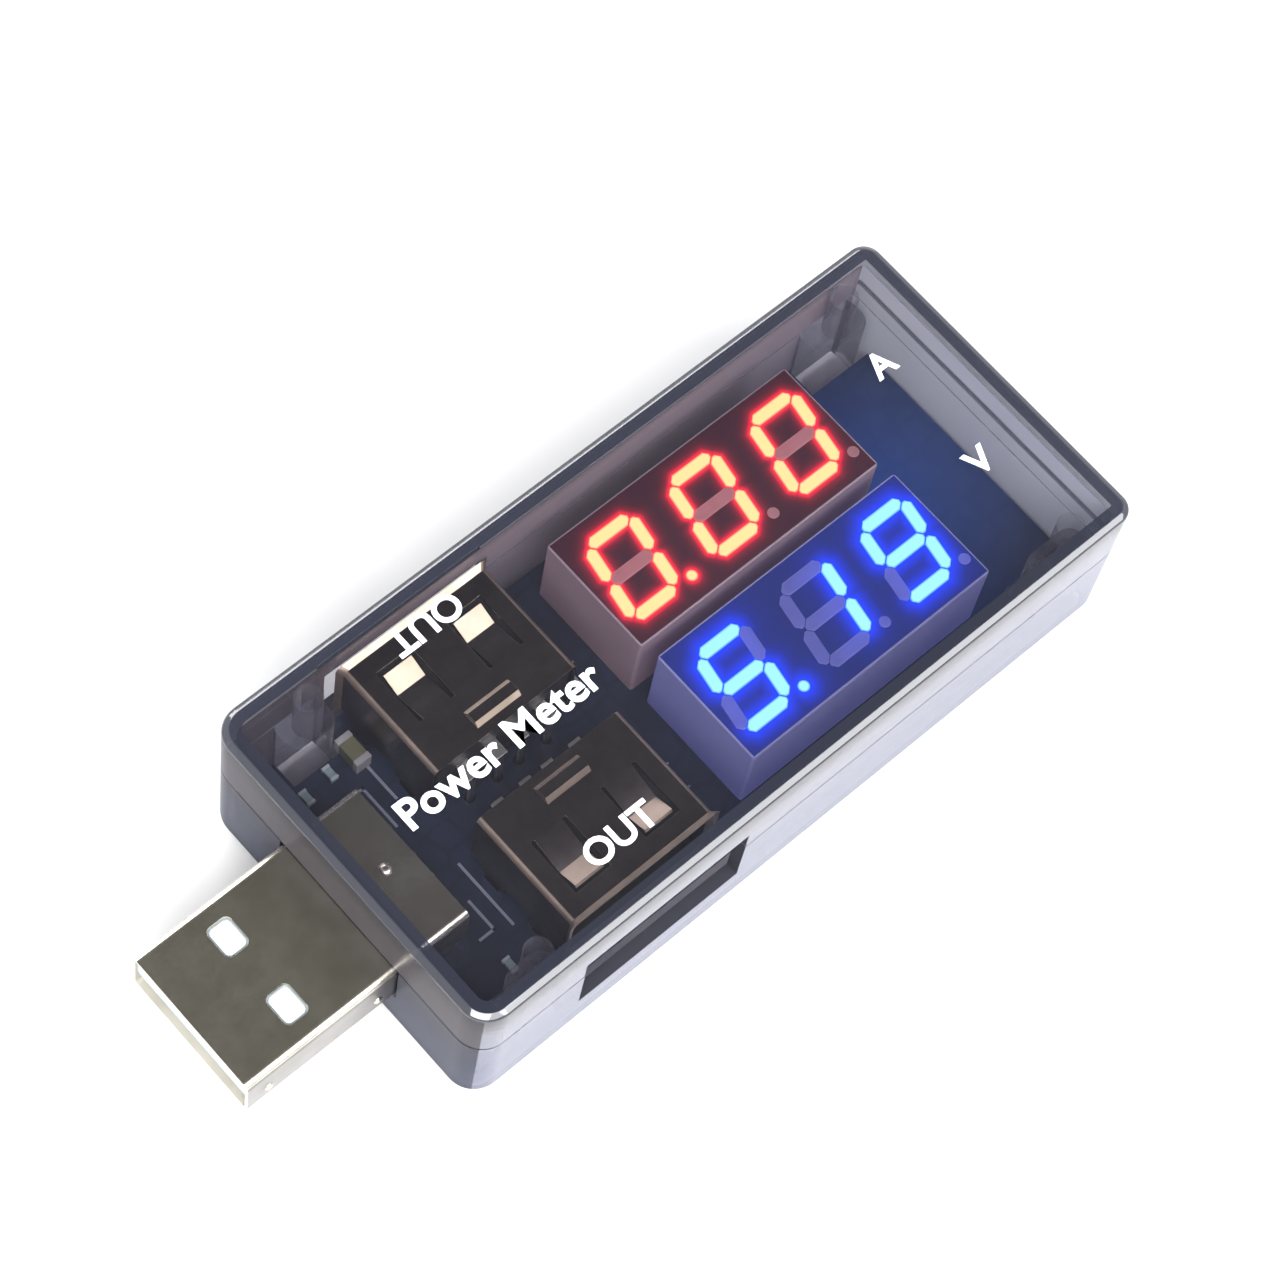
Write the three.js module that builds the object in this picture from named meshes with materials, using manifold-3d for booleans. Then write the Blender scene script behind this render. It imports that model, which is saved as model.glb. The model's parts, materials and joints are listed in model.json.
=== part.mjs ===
// A pass-through USB power meter: a USB-A plug at one end of a smoky clear case, a USB-A socket in
// each long side, and two three-digit LED displays over a circuit board.
//
// Lengths are in millimetres. X runs from the plug to the far end, Y across the case and Z up.
// While the pieces are made, x = 0 is the outer face of the wall that the plug passes through.
// At the end everything moves so that the origin is under the middle of the whole length.

import * as THREE from 'three';
import { mergeVertices } from 'three/addons/utils/BufferGeometryUtils.js';
import Module from 'manifold-3d';

const wasm = await Module();
wasm.setup();

// ---------------------------------------------------------------- driving dimensions

const CASE = {
  length: 60.5, width: 28, height: 15,
  wall: 1.0, floor: 1.2, top: 1.2, seam: 9.25,
  cornerRadius: 1.4, topBevel: 0.6, bottomBevel: 1.4,
};
const PLUG_REACH = 12.7;
const LIP = { thickness: 0.45, height: 0.45, gap: 0.05 };
const WINDOW = { x0: 9.4, x1: 24.0, z0: 4.4, z1: 11.3 };
const POST = {
  inner: 10.4, radius: 1.2, shoulder: 0.8,
  pinY: 11.7, pinRadius: 0.7, pinFoot: 5.5, pinDepth: 0.5, bossRadius: 1.05,
};
const POST_SPANS = [{ x0: 4.8, x1: 8.8 }, { x0: 53.9, x1: 59.0 }];
const LEDGES = [{ x0: 29, x1: 31 }, { x0: 43, x1: 45 }];
const FIT_GAP = 0.05;
const LEG_FOOT = 2.6;
const SOLDER_GAP = 0.02;

const BOARD = {
  x0: 1.5, x1: 59.2, half: 12.4, z0: 3.45, z1: 4.65,
  notchGap: 0.25, slotGap: 0.15, pinHoleRadius: 0.42, plugHoleRadius: 0.55,
};

const PLUG = {
  centreY: 0.2, halfWidth: 6, z0: 4.65, z1: 9.15, rear: 6.4, sheet: 0.3, corner: 0.6,
  windowX: -7.0, windowY: 3.06, windowLength: 2.0, windowWidth: 2.6, windowCorner: 0.5,
  tongueZ: 6.75, tongueTip: -12.55, blockX: 3.0,
  padHeight: 0.2, padInset: 0.15, padCorner: 0.4,
  contactWidth: 1.0, contactThickness: 0.2, contactLegWidth: 0.7, legX: 6.9, shellLegX: 2.6,
  longContact: 0.9, shortContact: 1.9, grooveTip: 0.7, grooveDepth: 0.15,
  caseGap: 0.15, caseGapBelow: 0.2,
};
const CONTACT_PITCH = [-3.5, -1.0, 1.0, 3.5];

// A socket's own y runs from the line between the two sockets, at centreY, out to its mouth.
const SOCKET = {
  centreX: 16.85, centreY: 0.65, halfWidth: 6.4, sheet: 0.3, corner: 0.5,
  rear: 2.15, mouth: 11.7, z0: 5.3, z1: 11.5, flareEnd: 12.1, flareOut: 0.35,
  blockRear: 2.4, blockFront: 4.3, tongueHalf: 5.55, tongueTip: 11.2, tongueZ0: 8.5, tongueZ1: 10.3,
  legs: [4.5, 9.5], legWidth: 1.2,
  bridgeHalf: 1.95, bridgeFrom: 2.7, bridgeTo: 4.5, bridgeHeight: 0.35, bridgeSlope: 0.5,
  channelHalf: 0.65, channelTop: 9.4, channelEnd: 0.25,
};
const LEAF = {
  centre: 3.12, width: 2.8, cut: 0.32, root: 5.7, bend: 8.35, tip: 10.0,
  dip: 0.75, overlap: 0.3, tipSlant: 0.12, tipDrop: 0.1,
};
const BEAM = {
  root: 4.5, rootZ: 8.55, width: 1.0, thickness: 0.2,
  bow: [[6.4, 8.3], [8.4, 7.95], [9.2, 7.98], [10.3, 8.45], [10.7, 8.5]],
};
const TAIL = { y: 1.1, z: 8.35, thickness: 0.25, barHalf: 0.5, pinHalf: 0.25, foot: 2.4, rise: 0.1 };

const DISPLAY = {
  length: 22.6, width: 9.9, z0: 4.75, z1: 12.1,
  face: 1.5, wall: 0.6, baseThickness: 0.8,
  pins: 6, pinPitch: 2.54, pinRow: 3.81, pinHalf: 0.25, pinFoot: 2.3, pinRoot: 0.3,
};
const DISPLAY_CENTRES = { current: { x: 38.65, y: 5.8 }, voltage: { x: 39.0, y: -5.3 } };
const DIGIT = {
  pitch: 7.73, width: 5.0, height: 7.15, stroke: 0.98, gap: 0.09, slant: Math.tan(Math.PI / 18),
  pointX: 2.8, pointY: -3.1, pointRadius: 0.45,
};

// Small parts: length, width and height of each chip size, and where each one's middle is.
const CHIP = { capShare: 0.18, bodyInset: 0.04, bodyEnd: 0.1 };
const CHIP_SIZES = {
  shunt: [6.3, 3.1, 0.65], input: [2.5, 1.3, 1.4], output: [3.2, 1.6, 1.2],
  filter: [2.0, 1.25, 0.8], small: [1.2, 0.65, 0.45], segment: [1.6, 0.8, 0.5],
};
const TOP_CHIPS = [[4.6, 8.9], [7.0, 9.3], [7.4, -9.2], [24.7, 4.0], [24.7, -6.0]];
const SEGMENT_RESISTORS = { count: 6, pitch: 2.4 };
const LEAD = { thickness: 0.16, root: 0.2, step: 0.15, bodyGap: 0.12 };

const HALF = CASE.width / 2;
const HOLE_SIDES = 8;
const BEVEL_STEPS = 3;
const PAST = 1; // how far a cutting shape reaches past what it cuts
const ROOTED = 0.5; // how deep a joined shape starts inside its neighbour

// ---------------------------------------------------------------- shape helpers

function box(x0, x1, y0, y1, z0, z1) {
  const geometry = new THREE.BoxGeometry(x1 - x0, y1 - y0, z1 - z0);
  geometry.translate((x0 + x1) / 2, (y0 + y1) / 2, (z0 + z1) / 2);
  return geometry;
}

function rod(x, y, radius, z0, z1, sides = 12) {
  const geometry = new THREE.CylinderGeometry(radius, radius, z1 - z0, sides);
  geometry.rotateX(Math.PI / 2);
  geometry.translate(x, y, (z0 + z1) / 2);
  return geometry;
}

function roundedRectangle(x0, x1, y0, y1, radius) {
  const shape = new THREE.Shape();
  shape.moveTo(x0 + radius, y0);
  shape.lineTo(x1 - radius, y0);
  shape.absarc(x1 - radius, y0 + radius, radius, -Math.PI / 2, 0, false);
  shape.lineTo(x1, y1 - radius);
  shape.absarc(x1 - radius, y1 - radius, radius, 0, Math.PI / 2, false);
  shape.lineTo(x0 + radius, y1);
  shape.absarc(x0 + radius, y1 - radius, radius, Math.PI / 2, Math.PI, false);
  shape.lineTo(x0, y0 + radius);
  shape.absarc(x0 + radius, y0 + radius, radius, Math.PI, Math.PI * 1.5, false);
  return shape;
}

// A rounded rectangle's outline as points, for shapes that change size on their way.
function roundedLoop(halfU, halfV, radius) {
  return roundedRectangle(-halfU, halfU, -halfV, halfV, radius).getPoints(3);
}

function polygon(points) {
  return new THREE.Shape(points.map(([x, y]) => new THREE.Vector2(x, y)));
}

function extrudeUp(shape, z0, z1, bevel = 0, curveSegments = 5) {
  const geometry = new THREE.ExtrudeGeometry(shape, {
    depth: z1 - z0 - 2 * bevel,
    curveSegments,
    bevelEnabled: bevel > 0,
    bevelThickness: bevel,
    bevelSize: bevel,
    bevelOffset: -bevel,
    bevelSegments: BEVEL_STEPS,
  });
  geometry.translate(0, 0, z0 + bevel);
  return geometry;
}

// The shape is drawn in Y and Z, and runs from x0 to x1.
function extrudeAlongX(shape, x0, x1, curveSegments = 3) {
  const geometry = extrudeUp(shape, x0, x1, 0, curveSegments);
  geometry.applyMatrix4(new THREE.Matrix4().set(0, 0, 1, 0, 1, 0, 0, 0, 0, 1, 0, 0, 0, 0, 0, 1));
  return geometry;
}

// The shape is drawn in X and Z, and runs from y0 to y1.
function extrudeAlongY(shape, y0, y1, curveSegments = 3) {
  const geometry = extrudeUp(shape, -y1, -y0, 0, curveSegments);
  geometry.applyMatrix4(new THREE.Matrix4().set(1, 0, 0, 0, 0, 0, -1, 0, 0, 1, 0, 0, 0, 0, 0, 1));
  return geometry;
}

// A closed shape between two outlines of X and Z offsets, the first at y0 and the second at y1.
function loftAlongY(first, second, centre, y0, y1) {
  const count = first.length;
  const ring = (points, y) => points.map((point) => [centre.x + point.x, y, centre.z + point.y]);
  const middles = [[centre.x, y0, centre.z], [centre.x, y1, centre.z]];
  const corners = [...ring(first, y0), ...ring(second, y1), ...middles];
  const faces = [];
  for (let i = 0; i < count; i += 1) {
    const j = (i + 1) % count;
    faces.push(i, count + j, j, i, count + i, count + j);
    faces.push(2 * count, i, j, 2 * count + 1, count + j, count + i);
  }
  const geometry = new THREE.BufferGeometry();
  geometry.setAttribute('position', new THREE.Float32BufferAttribute(corners.flat(), 3));
  geometry.setIndex(faces);
  return geometry;
}

function solid(geometry) {
  const bare = geometry.clone();
  bare.deleteAttribute('normal');
  bare.deleteAttribute('uv');
  const merged = mergeVertices(bare, 1e-4);
  return new wasm.Manifold(new wasm.Mesh({
    numProp: 3,
    vertProperties: new Float32Array(merged.attributes.position.array),
    triVerts: new Uint32Array(merged.index.array),
  }));
}

function join(...geometries) {
  return geometries.map(solid).reduce((whole, piece) => whole.add(piece));
}

function cut(whole, ...geometries) {
  return geometries.map(solid).reduce((rest, piece) => rest.subtract(piece), whole);
}

function toGeometry(whole) {
  const mesh = whole.getMesh();
  const corners = new Float32Array(mesh.numVert * 3);
  for (let vertex = 0; vertex < mesh.numVert; vertex += 1) {
    for (let axis = 0; axis < 3; axis += 1) {
      corners[vertex * 3 + axis] = mesh.vertProperties[vertex * mesh.numProp + axis];
    }
  }
  const geometry = new THREE.BufferGeometry();
  geometry.setAttribute('position', new THREE.BufferAttribute(corners, 3));
  geometry.setIndex(new THREE.BufferAttribute(new Uint32Array(mesh.triVerts), 1));
  const faceted = geometry.toNonIndexed();
  faceted.computeVertexNormals();
  return faceted;
}

// ---------------------------------------------------------------- materials

const MATERIALS = {
  case: { color: 0x8c8c98, roughness: 0.2, metalness: 0, transparent: true, opacity: 0.55 },
  board: { color: 0x16233f, roughness: 0.4, metalness: 0 },
  steel: { color: 0xb9b2a4, roughness: 0.3, metalness: 1 },
  gold: { color: 0xd8b25c, roughness: 0.3, metalness: 1 },
  tin: { color: 0xc9c9c9, roughness: 0.35, metalness: 1 },
  whitePlastic: { color: 0xf2f2ee, roughness: 0.45, metalness: 0 },
  blackPlastic: { color: 0x1d1d20, roughness: 0.5, metalness: 0 },
  displayCase: { color: 0x6b6470, roughness: 0.5, metalness: 0 },
  redResin: { color: 0xd9a090, roughness: 0.4, metalness: 0 },
  blueResin: { color: 0x9fb4d8, roughness: 0.4, metalness: 0 },
  baseBoard: { color: 0xd9d4bd, roughness: 0.6, metalness: 0 },
  ceramic: { color: 0x8a7a5a, roughness: 0.5, metalness: 0 },
  resistor: { color: 0x24242a, roughness: 0.4, metalness: 0 },
};

const meter = new THREE.Group();
meter.name = 'usb_power_meter';

function place(name, material, geometry, parent = meter) {
  const mesh = new THREE.Mesh(geometry, new THREE.MeshStandardMaterial(MATERIALS[material]));
  mesh.name = name;
  parent.add(mesh);
}

// ---------------------------------------------------------------- case

function caseOutline(inset) {
  const radius = CASE.cornerRadius - Math.min(inset, CASE.wall);
  return roundedRectangle(inset, CASE.length - inset, -HALF + inset, HALF - inset, radius);
}

function sideWindows() {
  const outside = HALF + PAST;
  const inside = HALF - CASE.wall - PAST;
  return [
    box(WINDOW.x0, WINDOW.x1, inside, outside, WINDOW.z0, WINDOW.z1),
    box(WINDOW.x0, WINDOW.x1, -outside, -inside, WINDOW.z0, WINDOW.z1),
  ];
}

function cornerPlaces() {
  return POST_SPANS.flatMap(({ x0, x1 }) => [-1, 1].map((side) => ({ x0, x1, side })));
}

// A pad that joins the side wall, from |y| = inner to the middle of the wall.
function wallPad(x0, x1, side, inner, z0, z1) {
  const outer = HALF - CASE.wall / 2;
  return box(x0, x1, side > 0 ? inner : -outer, side > 0 ? outer : -inner, z0, z1);
}

function roundedPost({ x0, x1, side }) {
  const outer = HALF - CASE.wall / 2;
  const y0 = side > 0 ? POST.inner : -outer;
  const outline = roundedRectangle(x0, x1, y0, y0 + outer - POST.inner, POST.radius);
  return extrudeUp(outline, CASE.floor / 2, CASE.seam, 0, 3);
}

function postFoot({ x0, x1, side }) {
  const inner = POST.inner - POST.shoulder;
  const endOfCase = CASE.length - CASE.wall / 2;
  const far = Math.min(x1 + POST.shoulder, endOfCase);
  return wallPad(x0 - POST.shoulder, far, side, inner, CASE.floor / 2, BOARD.z0 - FIT_GAP);
}

function pinX({ x0, x1 }) {
  return (x0 + x1) / 2;
}

// The rounds along the bottom edges meet in mitres, so the flat underside is a plain rectangle.
function shellBlank() {
  const walls = solid(extrudeUp(caseOutline(0), -PAST, CASE.seam));
  const plan = polygon([[0, -HALF], [CASE.length, -HALF], [CASE.length, HALF], [0, HALF]]);
  return walls.intersect(solid(extrudeUp(plan, 0, CASE.height, CASE.bottomBevel)));
}

function bottomShell() {
  const hollow = extrudeUp(caseOutline(CASE.wall), CASE.floor, CASE.height);
  let shell = cut(shellBlank(), hollow);

  const lipTop = CASE.seam + LIP.height;
  const lipInset = CASE.wall - LIP.thickness;
  const lip = cut(
    solid(extrudeUp(caseOutline(lipInset), CASE.seam - LIP.height, lipTop)),
    extrudeUp(caseOutline(CASE.wall), CASE.floor, CASE.height),
  );
  shell = shell.add(lip);

  for (const corner of cornerPlaces()) {
    shell = shell.add(solid(roundedPost(corner))).add(solid(postFoot(corner)));
  }
  for (const { x0, x1 } of LEDGES) {
    for (const side of [-1, 1]) {
      const ledge = wallPad(x0, x1, side, BOARD.half - PAST, CASE.floor / 2, BOARD.z0 - FIT_GAP);
      shell = shell.add(solid(ledge));
    }
  }

  const pinHoles = cornerPlaces().map((corner) => rod(
    pinX(corner), corner.side * POST.pinY, POST.pinRadius + FIT_GAP,
    POST.pinFoot - POST.pinDepth, CASE.height,
  ));
  const slotHalf = PLUG.halfWidth + PLUG.caseGap;
  const slotFloor = PLUG.z0 - PLUG.caseGapBelow;
  const plugSlot = box(
    -PAST, CASE.wall + PAST, PLUG.centreY - slotHalf, PLUG.centreY + slotHalf, slotFloor, CASE.height,
  );
  return toGeometry(cut(shell, ...sideWindows(), plugSlot, ...pinHoles));
}

function topCover() {
  const outer = solid(extrudeUp(caseOutline(0), 0, CASE.height, CASE.topBevel));
  const upper = solid(box(
    -PAST, CASE.length + PAST, -HALF - PAST, HALF + PAST, CASE.seam, CASE.height + PAST,
  ));
  const hollow = extrudeUp(caseOutline(CASE.wall), 0, CASE.height - CASE.top);
  const rebateInset = CASE.wall - LIP.thickness - LIP.gap;
  const rebate = extrudeUp(caseOutline(rebateInset), 0, CASE.seam + LIP.height + LIP.gap);
  let cover = cut(outer.intersect(upper), hollow, rebate, ...sideWindows());

  const underside = CASE.height - CASE.top / 2;
  for (const corner of cornerPlaces()) {
    const x = pinX(corner);
    const y = corner.side * POST.pinY;
    cover = cover
      .add(solid(rod(x, y, POST.bossRadius, CASE.seam + FIT_GAP, underside)))
      .add(solid(rod(x, y, POST.pinRadius, POST.pinFoot, CASE.seam + ROOTED)));
  }
  return toGeometry(cover);
}

// ---------------------------------------------------------------- circuit board

function contactPlaces(centre) {
  return CONTACT_PITCH.map((offset) => centre + offset);
}

function displayPinPlaces({ x, y }) {
  const first = x - ((DISPLAY.pins - 1) / 2) * DISPLAY.pinPitch;
  const places = [];
  for (let pin = 0; pin < DISPLAY.pins; pin += 1) {
    for (const side of [-1, 1]) {
      places.push([first + pin * DISPLAY.pinPitch, y + side * DISPLAY.pinRow]);
    }
  }
  return places;
}

// The board is narrower beside the corner posts of the case.
function boardOutline() {
  const [plugPost, farPost] = POST_SPANS;
  const narrow = POST.inner - BOARD.notchGap;
  const nearNotch = plugPost.x0 - BOARD.notchGap;
  const nearNotchEnd = plugPost.x1 + BOARD.notchGap;
  const farNotch = farPost.x0 - BOARD.notchGap;
  const lower = [
    [BOARD.x0, -BOARD.half], [nearNotch, -BOARD.half], [nearNotch, -narrow],
    [nearNotchEnd, -narrow], [nearNotchEnd, -BOARD.half], [farNotch, -BOARD.half],
    [farNotch, -narrow], [BOARD.x1, -narrow],
  ];
  const upper = lower.map(([x, y]) => [x, -y]).reverse();
  return polygon([...lower, ...upper]);
}

function circuitBoard() {
  const below = BOARD.z0 - PAST;
  const above = BOARD.z1 + PAST;
  const drill = (x, y, radius) => rod(x, y, radius, below, above, HOLE_SIDES);
  const slot = (x, y, halfX, halfY) => box(x - halfX, x + halfX, y - halfY, y + halfY, below, above);
  const legHalf = SOCKET.legWidth / 2 + BOARD.slotGap;
  const sheetHalf = SOCKET.sheet / 2 + BOARD.slotGap;

  const holes = CONTACT_PITCH.map((y) => drill(
    PLUG.legX + PLUG.contactThickness / 2, PLUG.centreY + y, BOARD.plugHoleRadius,
  ));
  for (const side of [-1, 1]) {
    const shellLegY = PLUG.centreY + side * (PLUG.halfWidth - PLUG.sheet / 2);
    holes.push(slot(PLUG.shellLegX, shellLegY, legHalf, sheetHalf));
    for (const x of contactPlaces(SOCKET.centreX)) {
      const tailY = SOCKET.centreY + side * (TAIL.y + TAIL.thickness / 2);
      holes.push(drill(x, tailY, BOARD.pinHoleRadius));
    }
    for (const legY of SOCKET.legs) {
      for (const wallSide of [-1, 1]) {
        const x = SOCKET.centreX + wallSide * (SOCKET.halfWidth - SOCKET.sheet / 2);
        holes.push(slot(x, SOCKET.centreY + side * legY, sheetHalf, legHalf));
      }
    }
  }
  for (const centre of Object.values(DISPLAY_CENTRES)) {
    for (const [x, y] of displayPinPlaces(centre)) {
      holes.push(drill(x, y, BOARD.pinHoleRadius));
    }
  }
  return toGeometry(cut(solid(extrudeUp(boardOutline(), BOARD.z0, BOARD.z1)), ...holes));
}

// ---------------------------------------------------------------- plug

function plugWindow(side, z0, z1) {
  const halfLength = PLUG.windowLength / 2;
  const halfWidth = PLUG.windowWidth / 2;
  const y = side * PLUG.windowY;
  const outline = roundedRectangle(
    PLUG.windowX - halfLength, PLUG.windowX + halfLength, y - halfWidth, y + halfWidth,
    PLUG.windowCorner,
  );
  return extrudeUp(outline, z0, z1, 0, 3);
}

function plugShell() {
  const { halfWidth, z0, z1, sheet, corner } = PLUG;
  const outer = roundedRectangle(-halfWidth, halfWidth, z0, z1, corner);
  const inner = roundedRectangle(
    -halfWidth + sheet, halfWidth - sheet, z0 + sheet, z1 - sheet, corner - sheet,
  );
  let shell = cut(
    solid(extrudeAlongX(outer, -PLUG_REACH, PLUG.rear)),
    extrudeAlongX(inner, -PLUG_REACH - PAST, PLUG.rear + PAST),
  );
  for (const side of [-1, 1]) {
    shell = cut(shell, plugWindow(side, z0 - PAST, z1 + PAST));
    const middle = side * (halfWidth - sheet / 2);
    const half = SOCKET.legWidth / 2;
    const leg = box(
      PLUG.shellLegX - half, PLUG.shellLegX + half, middle - sheet / 2, middle + sheet / 2,
      LEG_FOOT, z0 + corner + ROOTED,
    );
    shell = shell.add(solid(leg));
  }
  return toGeometry(shell);
}

function plugInsulator() {
  const halfWidth = PLUG.halfWidth - PLUG.sheet - FIT_GAP;
  const top = PLUG.z1 - PLUG.sheet - FIT_GAP;
  const bottom = PLUG.z0 + PLUG.sheet + FIT_GAP;
  const section = (low) => roundedRectangle(-halfWidth, halfWidth, low, top, PLUG.corner - PLUG.sheet);
  const bar = extrudeAlongX(section(PLUG.tongueZ), PLUG.tongueTip, PLUG.rear);
  const block = extrudeAlongX(section(bottom), PLUG.blockX, PLUG.rear);
  const pads = [-1, 1].map((side) => {
    const halfLength = PLUG.windowLength / 2 - PLUG.padInset;
    const half = PLUG.windowWidth / 2 - PLUG.padInset;
    const y = side * PLUG.windowY;
    const outline = roundedRectangle(
      PLUG.windowX - halfLength, PLUG.windowX + halfLength, y - half, y + half, PLUG.padCorner,
    );
    return extrudeUp(outline, top - ROOTED, top + PLUG.padHeight, 0, 2);
  });
  const grooves = CONTACT_PITCH.map((y) => {
    const half = PLUG.contactWidth / 2 + FIT_GAP;
    const top = PLUG.tongueZ + PLUG.contactThickness / 2 + SOLDER_GAP;
    const low = PLUG.tongueZ - PLUG.grooveDepth;
    return box(PLUG.tongueTip + PLUG.grooveTip, PLUG.rear + PAST, y - half, y + half, low, top);
  });
  return toGeometry(cut(join(bar, block, ...pads), ...grooves));
}

function plugContact(y, tip) {
  const half = PLUG.contactWidth / 2;
  const z1 = PLUG.tongueZ + PLUG.contactThickness / 2;
  const z0 = z1 - PLUG.contactThickness;
  const legEnd = PLUG.legX + PLUG.contactThickness;
  const bar = box(tip, legEnd, y - half, y + half, z0, z1);
  const legHalf = PLUG.contactLegWidth / 2;
  const leg = box(PLUG.legX, legEnd, y - legHalf, y + legHalf, LEG_FOOT, z1);
  return toGeometry(join(bar, leg));
}

// ---------------------------------------------------------------- sockets

// A socket is drawn for the +Y side, and the -Y one is the same pieces turned half a turn.

// The lip round the mouth flares outwards.
function flaredLip() {
  const { centreX, halfWidth, sheet, corner, z0, z1, mouth, flareEnd, flareOut } = SOCKET;
  const centre = { x: centreX, z: (z0 + z1) / 2 };
  const halfHeight = (z1 - z0) / 2;
  const loop = (grow) => roundedLoop(halfWidth + grow, halfHeight + grow, corner);
  const start = mouth - FIT_GAP;
  const rise = flareOut / (flareEnd - start);
  const outside = loftAlongY(loop(0), loop(flareOut), centre, start, flareEnd);
  const inside = loftAlongY(
    loop(-sheet - PAST * rise), loop(flareOut - sheet + PAST * rise), centre, start - PAST, flareEnd + PAST,
  );
  return cut(solid(outside), inside);
}

function socketShell() {
  const { centreX, halfWidth, sheet, corner, z0, z1, rear, mouth } = SOCKET;
  const outer = roundedRectangle(centreX - halfWidth, centreX + halfWidth, z0, z1, corner);
  const inner = roundedRectangle(
    centreX - halfWidth + sheet, centreX + halfWidth - sheet, z0 + sheet, z1 - sheet, corner - sheet,
  );
  let shell = cut(
    solid(extrudeAlongY(outer, rear, mouth)),
    extrudeAlongY(inner, rear - PAST, mouth + PAST),
  ).add(flaredLip());
  for (const side of [-1, 1]) {
    const x = centreX + side * LEAF.centre;
    const cutHalf = LEAF.width / 2 + LEAF.cut / 2;
    const opening = box(
      x - cutHalf, x + cutHalf, LEAF.root, LEAF.tip + LEAF.cut, z1 - PAST, z1 + PAST,
    );
    shell = cut(shell, opening).add(solid(gripLeaf(x)));
    for (const legY of SOCKET.legs) {
      shell = shell.add(solid(socketLeg(side, legY)));
    }
  }
  return toGeometry(shell.add(solid(bridge())));
}

// A grip leaf dips into the socket and turns up again at its tip.
function gripLeaf(x) {
  const { root, tip, bend, dip, overlap, tipSlant, tipDrop } = LEAF;
  const top = SOCKET.z1;
  const under = top - SOCKET.sheet;
  const half = (LEAF.width - LEAF.cut) / 2;
  const outline = polygon([
    [root - overlap, under], [root, under], [bend, under - dip], [tip, under - tipDrop],
    [tip - tipSlant, top - tipDrop], [bend, top - dip], [root, top], [root - overlap, top],
  ]);
  return extrudeAlongX(outline, x - half, x + half);
}

// The raised strap behind the leaves.
function bridge() {
  const { bridgeFrom, bridgeTo, bridgeHeight, bridgeHalf, bridgeSlope, centreX, sheet, z1 } = SOCKET;
  const outline = polygon([
    [bridgeFrom, z1 - sheet / 2], [bridgeTo, z1 - sheet / 2],
    [bridgeTo - bridgeSlope, z1 + bridgeHeight], [bridgeFrom + bridgeSlope, z1 + bridgeHeight],
  ]);
  return extrudeAlongX(outline, centreX - bridgeHalf, centreX + bridgeHalf);
}

function socketLeg(side, legY) {
  const { centreX, halfWidth, sheet, legWidth, z0 } = SOCKET;
  const middle = centreX + side * (halfWidth - sheet / 2);
  const shoulder = box(
    middle - sheet / 2, middle + sheet / 2, legY - legWidth, legY + legWidth,
    BOARD.z1 + SOLDER_GAP, z0 + SOCKET.corner + ROOTED,
  );
  const leg = box(
    middle - sheet / 2, middle + sheet / 2, legY - legWidth / 2, legY + legWidth / 2, LEG_FOOT, z0,
  );
  return toGeometry(join(shoulder, leg));
}

function socketTongue() {
  const { centreX, sheet, halfWidth, z0, z1, blockRear, blockFront } = SOCKET;
  const half = halfWidth - sheet - FIT_GAP;
  const section = roundedRectangle(
    centreX - half, centreX + half, z0 + sheet + FIT_GAP, z1 - sheet - FIT_GAP, SOCKET.corner - sheet,
  );
  const block = extrudeAlongY(section, blockRear, blockFront);
  const tongue = box(
    centreX - SOCKET.tongueHalf, centreX + SOCKET.tongueHalf, blockRear + ROOTED, SOCKET.tongueTip,
    SOCKET.tongueZ0, SOCKET.tongueZ1,
  );
  const channels = contactPlaces(centreX).flatMap((x) => [
    box(x - SOCKET.channelHalf, x + SOCKET.channelHalf, blockFront,
      SOCKET.tongueTip - SOCKET.channelEnd, SOCKET.tongueZ0 - PAST, SOCKET.channelTop),
    box(x - SOCKET.channelHalf, x + SOCKET.channelHalf, blockRear - PAST, blockFront + ROOTED,
      TAIL.z - TAIL.rise, TAIL.z + TAIL.thickness + TAIL.rise),
  ]);
  return toGeometry(cut(join(block, tongue), ...channels));
}

// The sprung part of a contact: it bows below the tongue, where the plug's contact presses it up.
function contactBeam(x) {
  const half = BEAM.thickness / 2;
  const middle = [[BEAM.root, BEAM.rootZ], ...BEAM.bow];
  const under = middle.map(([y, z]) => [y, z - half]);
  const over = middle.map(([y, z]) => [y, z + half]).reverse();
  return extrudeAlongX(polygon([...under, ...over]), x - BEAM.width / 2, x + BEAM.width / 2);
}

// The fixed part of a contact, from its root in the insulator down through the board.
function contactTail(x) {
  const { y, z, thickness, barHalf, pinHalf, foot } = TAIL;
  const bar = box(x - barHalf, x + barHalf, y, BEAM.root - FIT_GAP, z, z + thickness);
  const pin = box(x - pinHalf, x + pinHalf, y, y + thickness, foot, z + thickness / 2);
  return toGeometry(join(bar, pin));
}

function addSocket(name, group) {
  place(`${name}_socket_shell`, 'steel', socketShell(), group);
  place(`${name}_socket_tongue`, 'blackPlastic', socketTongue(), group);
  contactPlaces(SOCKET.centreX).forEach((x, index) => {
    place(`${name}_contact_beam_${index + 1}`, 'gold', contactBeam(x), group);
    place(`${name}_contact_tail_${index + 1}`, 'tin', contactTail(x), group);
  });
}

// ---------------------------------------------------------------- displays

// The seven strokes of a digit round its middle, each as two ends of its centre line.
function strokeLines() {
  const x = (DIGIT.width - DIGIT.stroke) / 2;
  const y = (DIGIT.height - DIGIT.stroke) / 2;
  return {
    a: [[-x, y], [x, y]],
    b: [[x, 0], [x, y]],
    c: [[x, -y], [x, 0]],
    d: [[-x, -y], [x, -y]],
    e: [[-x, -y], [-x, 0]],
    f: [[-x, 0], [-x, y]],
    g: [[-x, 0], [x, 0]],
  };
}

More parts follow.
